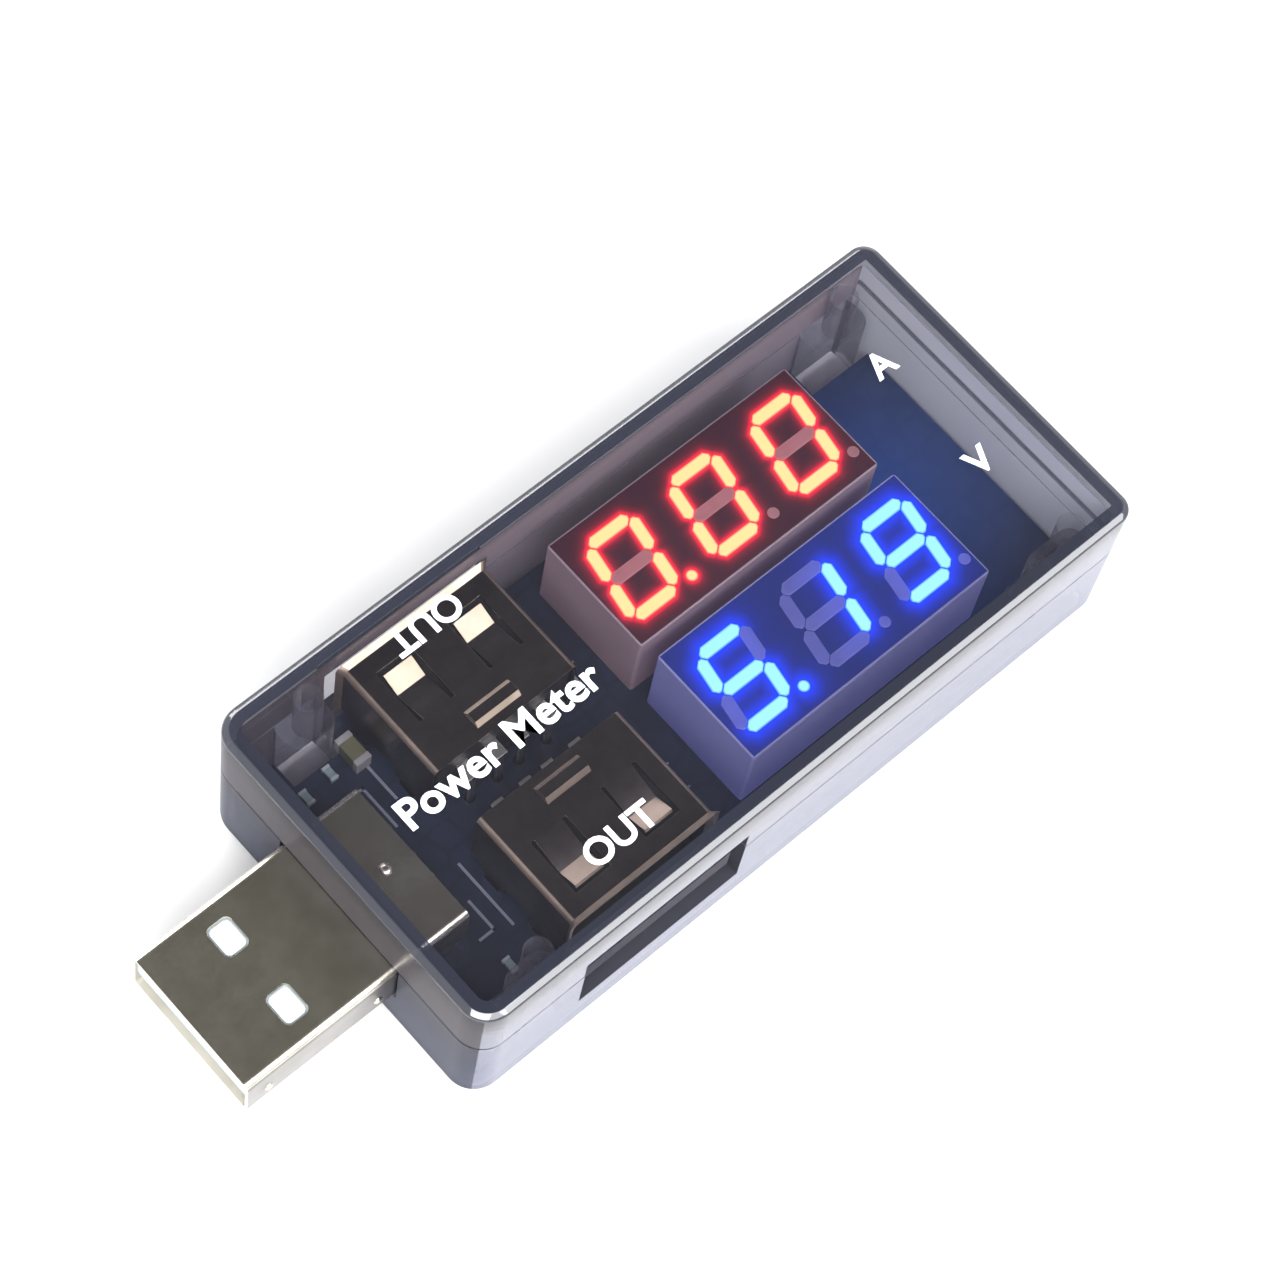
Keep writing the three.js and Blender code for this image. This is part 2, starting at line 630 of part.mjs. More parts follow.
// A stroke is a bar with pointed ends, leaning with the digit.
function strokeOutline([[x0, y0], [x1, y1]], inset) {
  const half = DIGIT.stroke / 2 - inset;
  const length = Math.hypot(x1 - x0, y1 - y0);
  const along = [(x1 - x0) / length, (y1 - y0) / length];
  const start = DIGIT.gap + inset;
  const end = length - DIGIT.gap - inset;
  const corners = [
    [start, 0], [start + half, -half], [end - half, -half],
    [end, 0], [end - half, half], [start + half, half],
  ];
  return corners.map(([u, v]) => {
    const x = x0 + along[0] * u - along[1] * v;
    const y = y0 + along[1] * u + along[0] * v;
    return [x + y * DIGIT.slant, y];
  });
}

function displayOpenings(centre, inset, z0, z1) {
  const prisms = [];
  for (const place of [-1, 0, 1]) {
    const x = centre.x + place * DIGIT.pitch;
    for (const line of Object.values(strokeLines())) {
      const outline = strokeOutline(line, inset).map(([u, v]) => [u + x, v + centre.y]);
      prisms.push(extrudeUp(polygon(outline), z0, z1));
    }
    const pointX = x + DIGIT.pointX;
    const pointY = centre.y + DIGIT.pointY;
    prisms.push(rod(pointX, pointY, DIGIT.pointRadius - inset, z0, z1, HOLE_SIDES));
  }
  return prisms;
}

function displaySlab({ x, y }, inset, z0, z1) {
  const halfX = DISPLAY.length / 2 - inset;
  const halfY = DISPLAY.width / 2 - inset;
  return box(x - halfX, x + halfX, y - halfY, y + halfY, z0, z1);
}

function displayCase(centre) {
  const faceBack = DISPLAY.z1 - DISPLAY.face;
  return toGeometry(cut(
    solid(displaySlab(centre, 0, DISPLAY.z0, DISPLAY.z1)),
    displaySlab(centre, DISPLAY.wall, DISPLAY.z0 - PAST, faceBack),
    ...displayOpenings(centre, 0, faceBack - ROOTED, DISPLAY.z1 + PAST),
  ));
}

function displayResin(centre) {
  const faceBack = DISPLAY.z1 - DISPLAY.face - FIT_GAP;
  const bottom = DISPLAY.z0 + DISPLAY.baseThickness + FIT_GAP;
  return toGeometry(join(
    displaySlab(centre, DISPLAY.wall + FIT_GAP, bottom, faceBack),
    ...displayOpenings(centre, FIT_GAP, faceBack - ROOTED, DISPLAY.z1 - FIT_GAP),
  ));
}

function displayBase(centre) {
  const top = DISPLAY.z0 + DISPLAY.baseThickness;
  const slab = displaySlab(centre, DISPLAY.wall + FIT_GAP, DISPLAY.z0, top);
  const half = DISPLAY.pinHalf;
  const pins = displayPinPlaces(centre).map(([x, y]) => box(
    x - half, x + half, y - half, y + half, DISPLAY.pinFoot, DISPLAY.z0 + DISPLAY.pinRoot,
  ));
  return toGeometry(join(slab, ...pins));
}

// ---------------------------------------------------------------- small parts

// A chip component: a block whose two ends are its solder caps. Its length runs along Y.
function chip(x, y, z, [length, width, height]) {
  const { bodyInset, bodyEnd } = CHIP;
  const cap = length * CHIP.capShare;
  const [y0, y1] = [y - length / 2, y + length / 2];
  const half = width / 2;
  return toGeometry(join(
    box(x - half + bodyInset, x + half - bodyInset, y0 + bodyEnd, y1 - bodyEnd,
      z + bodyInset, z + height - bodyInset),
    box(x - half, x + half, y0, y0 + cap, z, z + height),
    box(x - half, x + half, y1 - cap, y1, z, z + height),
  ));
}

function chipUnder(x, y, size) {
  return chip(x, y, BOARD.z0 - SOLDER_GAP - size[2], size);
}

function chipOver(x, y, size) {
  return chip(x, y, BOARD.z1 + SOLDER_GAP, size);
}

// A moulded package under the board, with a row of leads along each long side.
function leadedPackage(x, y, size, leads) {
  const top = BOARD.z0 - LEAD.bodyGap;
  const half = [size.length / 2, size.width / 2];
  const pieces = [box(x - half[0], x + half[0], y - half[1], y + half[1], top - size.height, top)];
  const low = top - (size.height + LEAD.thickness) / 2;
  const w = leads.width / 2;
  for (const side of [-1, 1]) {
    const row = side < 0 ? leads.front : leads.back;
    const reach = (distance) => y + side * (half[1] + distance);
    const flat = [reach(-LEAD.root), reach(size.reach / 2)].sort((a, b) => a - b);
    const step = [reach(size.reach / 2 - LEAD.step), reach(size.reach)].sort((a, b) => a - b);
    for (let lead = 0; lead < row.count; lead += 1) {
      const leadX = x + (lead - (row.count - 1) / 2) * row.pitch;
      pieces.push(box(leadX - w, leadX + w, flat[0], flat[1], low, low + LEAD.thickness));
      pieces.push(box(leadX - w, leadX + w, step[0], step[1], low, BOARD.z0 - SOLDER_GAP));
    }
  }
  return toGeometry(join(...pieces));
}

function addSmallParts() {
  const { current, voltage } = DISPLAY_CENTRES;
  place('microcontroller', 'blackPlastic', leadedPackage(
    voltage.x, voltage.y, { length: 6.5, width: 4.4, height: 1.0, reach: 1.0 },
    { front: { count: 10, pitch: 0.65 }, back: { count: 10, pitch: 0.65 }, width: 0.25 },
  ));
  place('current_amplifier', 'blackPlastic', leadedPackage(
    27.0, 0.2, { length: 2.9, width: 1.6, height: 1.0, reach: 0.6 },
    { front: { count: 3, pitch: 0.95 }, back: { count: 2, pitch: 1.9 }, width: 0.4 },
  ));
  place('voltage_regulator', 'blackPlastic', leadedPackage(
    27.0, -6.0, { length: 4.5, width: 2.5, height: 1.2, reach: 0.8 },
    { front: { count: 3, pitch: 1.5 }, back: { count: 1, pitch: 1.5 }, width: 0.5 },
  ));

  place('current_shunt', 'resistor', chipUnder(27.2, 7.4, CHIP_SIZES.shunt));
  place('input_capacitor', 'ceramic', chipOver(9.1, 9.4, CHIP_SIZES.input));
  place('output_capacitor', 'ceramic', chipUnder(53.5, -3.0, CHIP_SIZES.output));
  place('supply_capacitor', 'ceramic', chipUnder(32.2, voltage.y, CHIP_SIZES.filter));
  place('filter_capacitor', 'ceramic', chipUnder(45.8, voltage.y, CHIP_SIZES.filter));

  TOP_CHIPS.forEach(([x, y], index) => {
    place(`top_chip_${index + 1}`, 'resistor', chipOver(x, y, CHIP_SIZES.small));
  });
  const { count, pitch } = SEGMENT_RESISTORS;
  for (let index = 0; index < count; index += 1) {
    const x = current.x + (index - (count - 1) / 2) * pitch;
    place(`segment_resistor_${index + 1}`, 'resistor', chipUnder(x, current.y, CHIP_SIZES.segment));
  }
}

// ---------------------------------------------------------------- the whole meter

place('top_cover', 'case', topCover());
place('bottom_shell', 'case', bottomShell());
place('circuit_board', 'board', circuitBoard());

const plug = new THREE.Group();
plug.position.set(0, PLUG.centreY, 0);
meter.add(plug);
place('plug_shell', 'steel', plugShell(), plug);
place('plug_insulator', 'whitePlastic', plugInsulator(), plug);
CONTACT_PITCH.forEach((y, index) => {
  const outer = Math.abs(y) > PLUG.halfWidth / 2;
  const tip = PLUG.tongueTip + (outer ? PLUG.longContact : PLUG.shortContact);
  place(`plug_contact_${index + 1}`, 'gold', plugContact(y, tip), plug);
});

const farSide = new THREE.Group();
farSide.position.set(0, SOCKET.centreY, 0);
meter.add(farSide);
addSocket('far', farSide);

const nearSide = new THREE.Group();
nearSide.position.set(2 * SOCKET.centreX, SOCKET.centreY, 0);
nearSide.rotation.z = Math.PI;
meter.add(nearSide);
addSocket('near', nearSide);

for (const [name, resin] of [['current', 'redResin'], ['voltage', 'blueResin']]) {
  const centre = DISPLAY_CENTRES[name];
  place(`${name}_display_case`, 'displayCase', displayCase(centre));
  place(`${name}_display_resin`, resin, displayResin(centre));
  place(`${name}_display_base`, 'baseBoard', displayBase(centre));
}

addSmallParts();

meter.position.x = -(CASE.length - PLUG_REACH) / 2;

export default meter;
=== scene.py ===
"""Looks of a pass-through USB power meter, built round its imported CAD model.

Shapes are written in millimetres in the part's frame (X to the far end, Y to the red display's
side, Z up) and become metres when a mesh is made.
"""

import json
import math

import bmesh
import bpy
from mathutils import Matrix, Vector

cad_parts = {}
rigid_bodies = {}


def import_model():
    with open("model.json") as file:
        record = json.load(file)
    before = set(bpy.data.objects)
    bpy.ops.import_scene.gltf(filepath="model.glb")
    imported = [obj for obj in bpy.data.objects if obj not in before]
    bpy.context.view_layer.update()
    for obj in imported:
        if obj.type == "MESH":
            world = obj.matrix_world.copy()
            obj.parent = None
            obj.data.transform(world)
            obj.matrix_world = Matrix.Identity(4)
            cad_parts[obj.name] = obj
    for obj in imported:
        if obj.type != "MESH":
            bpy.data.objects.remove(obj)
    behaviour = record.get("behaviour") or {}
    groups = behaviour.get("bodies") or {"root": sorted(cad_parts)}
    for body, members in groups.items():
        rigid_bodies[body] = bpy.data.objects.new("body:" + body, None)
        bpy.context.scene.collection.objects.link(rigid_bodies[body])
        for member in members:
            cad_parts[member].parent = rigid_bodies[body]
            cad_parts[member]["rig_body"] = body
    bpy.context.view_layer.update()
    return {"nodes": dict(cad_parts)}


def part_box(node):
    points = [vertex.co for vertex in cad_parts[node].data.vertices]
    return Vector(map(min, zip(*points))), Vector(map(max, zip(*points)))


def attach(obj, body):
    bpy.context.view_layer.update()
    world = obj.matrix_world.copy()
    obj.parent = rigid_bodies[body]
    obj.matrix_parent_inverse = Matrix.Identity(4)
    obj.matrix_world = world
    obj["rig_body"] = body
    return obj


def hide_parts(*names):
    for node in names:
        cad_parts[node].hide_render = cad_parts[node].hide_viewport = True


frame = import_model()

MM = 0.001
NODES = frame["nodes"]

# ---------------- sizes the boxes don't give, mm

SEAM_Z = 9.25
SEAM_GAP = 0.05
WALL = 1.0
FLOOR = 1.2
PLUG_CORNER = 2.2
FAR_CORNER = 1.4
TOP_ROUND = 0.26
TOP_FACET = 0.36
TOP_FACET_TILT = 30
BOTTOM_FILLET = 1.25
# The rim band is a darker copy of the case plastic: painted shade.
RIM = 1.35  # width of the dark band round the top
LIP_Z = 11.25  # height of the dark line inside the far end's wall
POST_SPANS = ((4.8, 8.8), (53.9, 59.0))  # along the case, from its plug end
POST_INNER = 10.4
POST_CORNER = 1.15
PIN_Y = 11.7
BOSS_RADIUS = 1.05
WINDOW_LENGTH = 14.6
WINDOW_OFFSET = -0.15
WINDOW_Z = (4.4, 11.3)
PLUG_THICKNESS = 4.5
TOP_BUMP = (4.1, 0.1)  # from the case's plug end, and from the plug's middle line
SIDE_BUMPS_X = (-10.9, -1.5)
SIDE_BUMP_RISE = 1.8
BUMP_SUNK = 0.05
FOLD_REACH = 0.75  # how far in a socket's folded edges come
SOLDER_RADIUS = 0.5
PLUG_SOLDER_HEIGHT, TAIL_SOLDER_HEIGHT = 0.45, 0.3
SLOT_GAP = 0.15
SLOT_GAP_BELOW = 0.2
PAST = 1  # how far a cutting shape reaches past what it cuts
CLEAR_OF_CASE = 5  # the same for the shapes that part the two halves
PRINT_RISE = 0.04
SUNK = 0.02  # how deep a mark or a solder joint starts inside what it stands on

DIGIT_SIZE = (5.0, 7.15)
DIGIT_PITCH = 7.73
DIGIT_SLANT = math.tan(math.radians(10))
STROKE = 1.02
STROKE_GAP = 0.16
STROKE_TIP = 0.12
POINT_OFFSET = (2.8, -3.1)
POINT_RADIUS = 0.45
DISPLAY_CORNER = 0.25
DISPLAY_ROUND = 0.12
PLATE_INSET = 0.15
PLATE_STEP = 0.22
PLATE_THICKNESS = 0.05
PLATE_RISE = 0.02
FACE_DEPTH = 0.2  # points of a display deeper than this catch no glow
RESIN_REACH = 1.6  # how much further the glow reaches in the unlit strokes than on the face

LEAST_RADIUS = 0.05
NEAR_BY = 0.05
SLOPE = 0.94  # a face leans when no part of its normal reaches this
UPRIGHT = 0.9  # a face looks along an axis when that part of its normal passes this
GRAZING_POWER = 5.0
MOULDED_IOR = 1.48
LETTER_WEIGHT = 0.022
GLOW_LIMIT = 6  # no glow from a stroke further away than this many reaches

LIT = {
    "current": ["abcdef.", "abcdef", "abcdef"],
    "voltage": ["acdfg.", "bc", "abcdfg"],
}


def span(node):
    """A node's lowest and highest corner in millimetres."""
    low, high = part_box(node)
    return low / MM, high / MM


# ---------------- mesh helpers

def add_object(name, data):
    thing = bpy.data.objects.new(name, data)
    bpy.context.scene.collection.objects.link(thing)
    return thing


def new_piece(name, mesh, material, body="meter", replaces=(), smooth=40):
    """Puts a mesh in the scene as a piece of a body. Its faces keep their material numbers."""
    for polygon in mesh.polygons:
        polygon.use_smooth = True
    mesh.set_sharp_from_angle(angle=math.radians(smooth))
    piece = add_object(name, mesh)
    slots = [polygon.material_index for polygon in mesh.polygons]
    mesh.materials.clear()
    for one in material if isinstance(material, (list, tuple)) else [material]:
        mesh.materials.append(one)
    mesh.polygons.foreach_set("material_index", slots)
    weighted = piece.modifiers.new("weighted_normals", "WEIGHTED_NORMAL")
    weighted.keep_sharp = True
    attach(piece, body)
    if replaces:
        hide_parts(*replaces)
    return piece


def to_mesh(name, bm):
    bmesh.ops.scale(bm, vec=(MM, MM, MM), verts=bm.verts)
    bmesh.ops.recalc_face_normals(bm, faces=bm.faces)
    mesh = bpy.data.meshes.new(name)
    bm.to_mesh(mesh)
    bm.free()
    return mesh


def evaluated(data, add_modifiers=None):
    """The mesh of a scratch object, after the modifiers that add_modifiers(object) puts on it."""
    scratch = add_object("scratch", data)
    helpers = (add_modifiers(scratch) if add_modifiers else None) or []
    bpy.context.view_layer.update()
    result = bpy.data.meshes.new_from_object(
        scratch.evaluated_get(bpy.context.evaluated_depsgraph_get())
    )
    for item in [scratch, *helpers]:
        bpy.data.objects.remove(item)
    return result


def boolean(mesh, cutter, operation="DIFFERENCE"):
    def add(scratch):
        helper = add_object("cutter", cutter)
        modifier = scratch.modifiers.new("boolean", "BOOLEAN")
        modifier.object = helper
        modifier.operation = operation
        modifier.solver = "EXACT"
        return [helper]
    return evaluated(mesh, add)


def bevelled(mesh, width, segments=2, angle=35):
    def add(scratch):
        modifier = scratch.modifiers.new("bevel", "BEVEL")
        modifier.width = width * MM
        modifier.segments = segments
        modifier.limit_method = "ANGLE"
        modifier.angle_limit = math.radians(angle)
        modifier.use_clamp_overlap = True
    return evaluated(mesh, add)


def rounded_loop(x0, x1, y0, y1, radii, segments):
    """A rectangle with rounded corners, radii[0] at its x0 end and radii[1] at its x1 end."""
    corners = [(x1, y0, -90), (x1, y1, 0), (x0, y1, 90), (x0, y0, 180)]
    points = []
    for x, y, start in corners:
        radius = radii[0] if x == x0 else radii[1]
        cx = x + (radius if x == x0 else -radius)
        cy = y + (radius if y == y0 else -radius)
        for step in range(segments + 1):
            angle = math.radians(start + 90 * step / segments)
            points.append((cx + radius * math.cos(angle), cy + radius * math.sin(angle)))
    return points


def stacked(loops):
    """A closed solid through loops of (x, y, z) points, with a face on each end."""
    bm = bmesh.new()
    rings = [[bm.verts.new(point) for point in loop] for loop in loops]
    count = len(rings[0])
    for lower, upper in zip(rings, rings[1:]):
        for i in range(count):
            j = (i + 1) % count
            bm.faces.new((lower[i], lower[j], upper[j], upper[i]))
    bm.faces.new(list(reversed(rings[0])))
    bm.faces.new(rings[-1])
    return bm


def quarter_round(radius, steps=6):
    """(inset, rise) points of a quarter round, from the foot of its wall to its flat."""
    turns = [math.radians(90 * step / steps) for step in range(steps + 1)]
    return [(radius * (1 - math.cos(turn)), radius * math.sin(turn)) for turn in turns]


def faceted_round(radius, facet, tilt, steps=3):
    """(inset, rise) points of an edge with a sloping facet between two small rounds."""
    slope = math.radians(tilt)
    run, climb = facet * math.cos(slope), facet * math.sin(slope)
    points = []
    for step in range(steps + 1):
        turn = math.radians(90 - (90 - tilt) * step / steps)
        points.append((radius * (1 - math.sin(turn)), radius * math.cos(turn)))
    for step in range(steps + 1):
        turn = slope * (1 - step / steps)
        points.append((radius * (1 - math.sin(turn)) + run, radius * math.cos(turn) + climb))
    return points


def slab(name, x, y, z, corner, bottom=((0.0, 0.0),), top=((0.0, 0.0),), rim=None, segments=10):
    """A slab with rounded corners in plan, shaped edges, and a ring marked out on its top."""
    radii = corner if isinstance(corner, tuple) else (corner, corner)
    levels = [(inset, z[0] + bottom[-1][1] - rise) for inset, rise in reversed(bottom)]
    levels += [(inset, z[1] - top[-1][1] + rise) for inset, rise in top]
    if rim:
        levels.append((rim, z[1]))
    loops = []
    for inset, level in levels:
        smaller = [max(radius - inset, LEAST_RADIUS) for radius in radii]
        loop = rounded_loop(
            x[0] + inset, x[1] - inset, y[0] + inset, y[1] - inset, smaller, segments
        )
        loops.append([(px, py, level) for px, py in loop])
    return to_mesh(name, stacked(loops))


def prism(name, loop, z):
    """A solid with the same (x, y) outline from z[0] to z[1]."""
    return to_mesh(name, stacked([[(x, y, level) for x, y in loop] for level in z]))


def block(name, x, y, z):
    return prism(name, [(x[0], y[0]), (x[1], y[0]), (x[1], y[1]), (x[0], y[1])], z)


def circle(x, y, radius, sides):
    turns = [2 * math.pi * step / sides for step in range(sides)]
    return [(x + radius * math.cos(turn), y + radius * math.sin(turn)) for turn in turns]


def dome(name, x, y, radius, z, height, sides=20):
    """A low dome: a solder joint, or the bump that a punch leaves in sheet metal."""
    loops = []
    for share in (0.0, 0.35, 0.65, 0.88, 0.98):
        ring = circle(x, y, radius * math.sqrt(1 - share * share), sides)
        loops.append([(px, py, z + height * share) for px, py in ring])
    return to_mesh(name, stacked(loops))


def joined(name, meshes):
    """Several closed meshes as one object's mesh."""
    bm = bmesh.new()
    for mesh in meshes:
        bm.from_mesh(mesh)
    result = bpy.data.meshes.new(name)
    bm.to_mesh(result)
    bm.free()
    return result


def leans(face):
    return max(abs(part) for part in face.normal) < SLOPE


def refine(node, material, width=0.06, segments=2, slopes=None, sides=None):
    """Stands a copy of a CAD node in its place, with its flats joined and its edges rounded.

    slopes is the material of the faces that lean, such as rounded edges and bent tabs, and sides
    holds a third material and the rule that picks its faces. The callers pass lighter and darker
    copies of the main material here, to paint highlights and shade on those faces.
    """
    bm = bmesh.new()
    bm.from_mesh(NODES[node].data)
    bmesh.ops.remove_doubles(bm, verts=bm.verts, dist=1e-7)
    bmesh.ops.dissolve_limit(
        bm, angle_limit=math.radians(1), verts=bm.verts, edges=bm.edges
    )
    bmesh.ops.recalc_face_normals(bm, faces=bm.faces)
    mesh = bpy.data.meshes.new(node + "_fine")
    bm.to_mesh(mesh)
    bm.free()
    mesh = bevelled(mesh, width, segments)
    for polygon in mesh.polygons:
        if sides and sides[1](polygon):
            polygon.material_index = 2
        elif slopes:
            polygon.material_index = 1 if leans(polygon) else 0
    body = NODES[node]["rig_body"]
    materials = [material, slopes or material, sides[0] if sides else material]
    return new_piece(node + "_fine", mesh, materials, body, [node])


def mark_inside(piece, middle, across, material):
    """Gives the faces of a tube that look towards its middle line a material of their own, a copy
    of the tube's metal that paints the light and shade inside it.
    """
    piece.data.materials.append(material)
    last = len(piece.data.materials) - 1
    for polygon in piece.data.polygons:
        out = polygon.center / MM - middle
        if min(polygon.normal[axis] * out[axis] for axis in (across, 2)) < -0.1:
            polygon.material_index = last


# ---------------- material helpers

class Shader:
    """A short way to write a node tree."""

    def __init__(self, name):
        self.material = bpy.data.materials.new(name)
        self.material.use_nodes = True
        self.tree = self.material.node_tree
        self.tree.nodes.clear()
        self.output = self.add("ShaderNodeOutputMaterial")

    def add(self, kind, values=None, **settings):
        node = self.tree.nodes.new(kind)
        for key, value in settings.items():
            setattr(node, key, value)
        for key, value in (values or {}).items():
            node.inputs[key].default_value = value
        return node

    def link(self, source, target):
        self.tree.links.new(source, target)

    def principled(self, values):
        return self.add("ShaderNodeBsdfPrincipled", values)

    def coordinates(self, kind="Object"):
        return self.add("ShaderNodeTexCoord").outputs[kind]

    def noise(self, scale, detail=4.0, stretch=None):
        """Noise with features about 1/scale metres across, optionally stretched along an axis."""
        source = self.coordinates()
        if stretch:
            mapping = self.add("ShaderNodeMapping", {"Scale": stretch})
            self.link(source, mapping.inputs["Vector"])
            source = mapping.outputs["Vector"]
        node = self.add("ShaderNodeTexNoise", {"Scale": scale, "Detail": detail})
        self.link(source, node.inputs["Vector"])
        return node.outputs["Fac"]

    def ramp(self, source, stops):
        node = self.add("ShaderNodeValToRGB")
        elements = node.color_ramp.elements
        elements[0].position, elements[0].color = stops[0][0], (*stops[0][1], 1)
        elements[1].position, elements[1].color = stops[-1][0], (*stops[-1][1], 1)
        for position, color in stops[1:-1]:
            elements.new(position).color = (*color, 1)
        self.link(source, node.inputs["Fac"])
        return node.outputs["Color"]

    def spread(self, source, low, high):
        node = self.add("ShaderNodeMapRange", {"To Min": low, "To Max": high})
        self.link(source, node.inputs["Value"])
        return node.outputs["Result"]

    def mottle(self, surface, scale, detail, stops):
        """Lets the surface's colour drift between the tones at two levels of a noise."""
        self.link(self.ramp(self.noise(scale, detail), stops), surface.inputs["Base Color"])

    def roughen(self, surface, source, low, high):
        self.link(self.spread(source, low, high), surface.inputs["Roughness"])

    def bump(self, surface, source, strength, distance):
        node = self.add("ShaderNodeBump", {"Strength": strength, "Distance": distance * MM})
        self.link(source, node.inputs["Height"])
        self.link(node.outputs["Normal"], surface.inputs["Normal"])

    def emit(self, surface, source, strength):
        self.link(source, surface.inputs["Emission Color"])
        surface.inputs["Emission Strength"].default_value = strength

    def finish(self, shader):
        self.link(shader.outputs[0], self.output.inputs["Surface"])
        return self.material


def grey(value):
    return (value, value, value)


def dimmed(color, share):
    return tuple(part * share for part in color)


def tones(dark, light):
    """Stops for a drift between two tones."""
    return [(0.3, dark), (0.7, light)]


def painted_glow_settings(color):
    """Values for a painted glow that a surface lets out though it is no lamp."""
    return {"Emission Color": (*color, 1), "Emission Strength": 1.0 if any(color) else 0.0}


def plain_plastic(name, dark, light, roughness, painted_glow=(0, 0, 0)):
    """Moulded plastic: faint colour drift, fine moulded grain, and an optional painted glow."""
    shader = Shader(name)
    surface = shader.principled({"IOR": MOULDED_IOR, **painted_glow_settings(painted_glow)})
    shader.mottle(surface, 180, 4, tones(dark, light))
    fine = shader.noise(4200, 2)
    shader.roughen(surface, fine, roughness - 0.06, roughness + 0.06)
    shader.bump(surface, fine, 0.25, 0.02)
    return shader.finish(surface)


def case_plastic(name, levels, cloudiness, clear, roughness=0.12, ior=1.46, gloss=0.5,
                 painted_glow=(0, 0, 0), plug_end=None, drift_range=0.05):
    """Smoky clear plastic. Its surface clouds the view by its cloudiness, more at a grazing angle,
    in a colour painted with light and shade by height: levels holds (height in mm, colour) pairs,
    with a faint random drift. The rest of the view goes through, tinted by clear. painted_glow is a
    painted glow that this face lets out though it is no lamp, and plug_end is the tint of painted
    shade that darkens its colour towards the plug."""
    shader = Shader(name)
    surface = shader.principled({
        "IOR": ior, "Specular IOR Level": gloss, **painted_glow_settings(painted_glow),
    })
    place = shader.add("ShaderNodeSeparateXYZ")
    shader.link(shader.coordinates(), place.inputs[0])
    share = shader.add("ShaderNodeMapRange", {"From Max": CASE_HEIGHT * MM})
    shader.link(place.outputs["Z"], share.inputs["Value"])
    drift = shader.add("ShaderNodeMath", operation="ADD")
    shader.link(share.outputs["Result"], drift.inputs[0])
    shader.link(shader.spread(shader.noise(90, 3), -drift_range, drift_range), drift.inputs[1])
    # The levels paint light and shade on the case by height.
    stops = [(level / CASE_HEIGHT, color) for level, color in levels]
    color = shader.ramp(drift.outputs["Value"], stops)
    # Painted shade: the colour darkens towards the plug end.
    if plug_end:
        along = shader.add("ShaderNodeMapRange", {
            "From Min": CASE_X[0] * MM, "From Max": CASE_X[1] * MM,
        })
        shader.link(place.outputs["X"], along.inputs["Value"])
        tinted = shader.add("ShaderNodeVectorMath", operation="MULTIPLY")
        shader.link(color, tinted.inputs[0])
        shader.link(shader.ramp(along.outputs["Result"], [
            (0.1, plug_end), (0.3, grey(0.8)), (0.55, grey(1.0)),
        ]), tinted.inputs[1])
        color = tinted.outputs[0]
    shader.link(color, surface.inputs["Base Color"])
    fine = shader.noise(2600, 3)
    shader.roughen(surface, fine, roughness - 0.03, roughness + 0.03)
    shader.bump(surface, fine, 0.03, 0.006)
    behind = shader.add("ShaderNodeBsdfTransparent", {"Color": (*clear, 1)})
    facing = shader.add("ShaderNodeLayerWeight", {"Blend": 0.5})
    edge = shader.add("ShaderNodeMath", operation="POWER")
    edge.inputs[1].default_value = GRAZING_POWER
    shader.link(facing.outputs["Facing"], edge.inputs[0])
    mix = shader.add("ShaderNodeMixShader")
    shader.link(shader.spread(edge.outputs["Value"], cloudiness, 1.0), mix.inputs["Fac"])
    shader.link(behind.outputs[0], mix.inputs[1])
    shader.link(surface.outputs[0], mix.inputs[2])
    return shader.finish(mix)


def metal(name, dark, light, roughness, stretch=(1, 1, 1), metallic=1.0, pitting=0.12):
    """Plated sheet metal with fine drawing lines, a slight mottle and scattered pits."""
    shader = Shader(name)
    surface = shader.principled({"Metallic": metallic})
    shader.mottle(surface, 420, 6, [(0.35, dark), (0.65, light)])
    lines = shader.noise(2400, 4, stretch)
    shader.roughen(surface, lines, roughness - 0.04, roughness + 0.05)
    pits = shader.ramp(shader.noise(3400, 2), [(0.3, grey(0.0)), (0.42, grey(1.0))])
    relief = shader.add("ShaderNodeMath", operation="ADD")
    shader.link(shader.spread(lines, 0.0, 0.3), relief.inputs[0])
    shader.link(pits, relief.inputs[1])
    shader.bump(surface, relief.outputs["Value"], pitting, 0.008)
    return shader.finish(surface)


def solder_mask(lit_centre, lit_reach):
    """Dark blue solder mask with the faint relief of the tracks under it, lit from lit_centre."""
    shader = Shader("solder_mask")
    surface = shader.principled({"IOR": 1.5})
    cells = shader.add("ShaderNodeTexVoronoi", {"Scale": 420.0, "Randomness": 0.55},
                       feature="DISTANCE_TO_EDGE", distance="CHEBYCHEV")
    shader.link(shader.coordinates(), cells.inputs["Vector"])
    tracks = shader.ramp(cells.outputs["Distance"], [(0.06, grey(0.0)), (0.1, grey(1.0))])
    tone = shader.add("ShaderNodeMix", data_type="RGBA")
    shader.link(tracks, tone.inputs["Factor"])
    tone.inputs["A"].default_value = (0.007, 0.013, 0.029, 1)
    tone.inputs["B"].default_value = (0.009, 0.017, 0.038, 1)
    shader.link(tone.outputs["Result"], surface.inputs["Base Color"])
    shader.roughen(surface, shader.noise(1500, 2), 0.3, 0.42)
    shader.bump(surface, tracks, 0.15, 0.02)
    place = shader.add("ShaderNodeVectorMath", operation="DISTANCE")
    shader.link(shader.coordinates(), place.inputs[0])
    place.inputs[1].default_value = [value * MM for value in lit_centre]
    nearness = shader.add("ShaderNodeMapRange", {
        "From Max": lit_reach * MM, "To Min": 1.0, "To Max": 0.0,
    })
    shader.link(place.outputs["Value"], nearness.inputs["Value"])
    spill = shader.ramp(nearness.outputs["Result"], [(0.0, grey(0.0)), (1.0, (0.008, 0.045, 0.24))])
    shader.emit(surface, spill, 1.0)
    return shader.finish(surface)


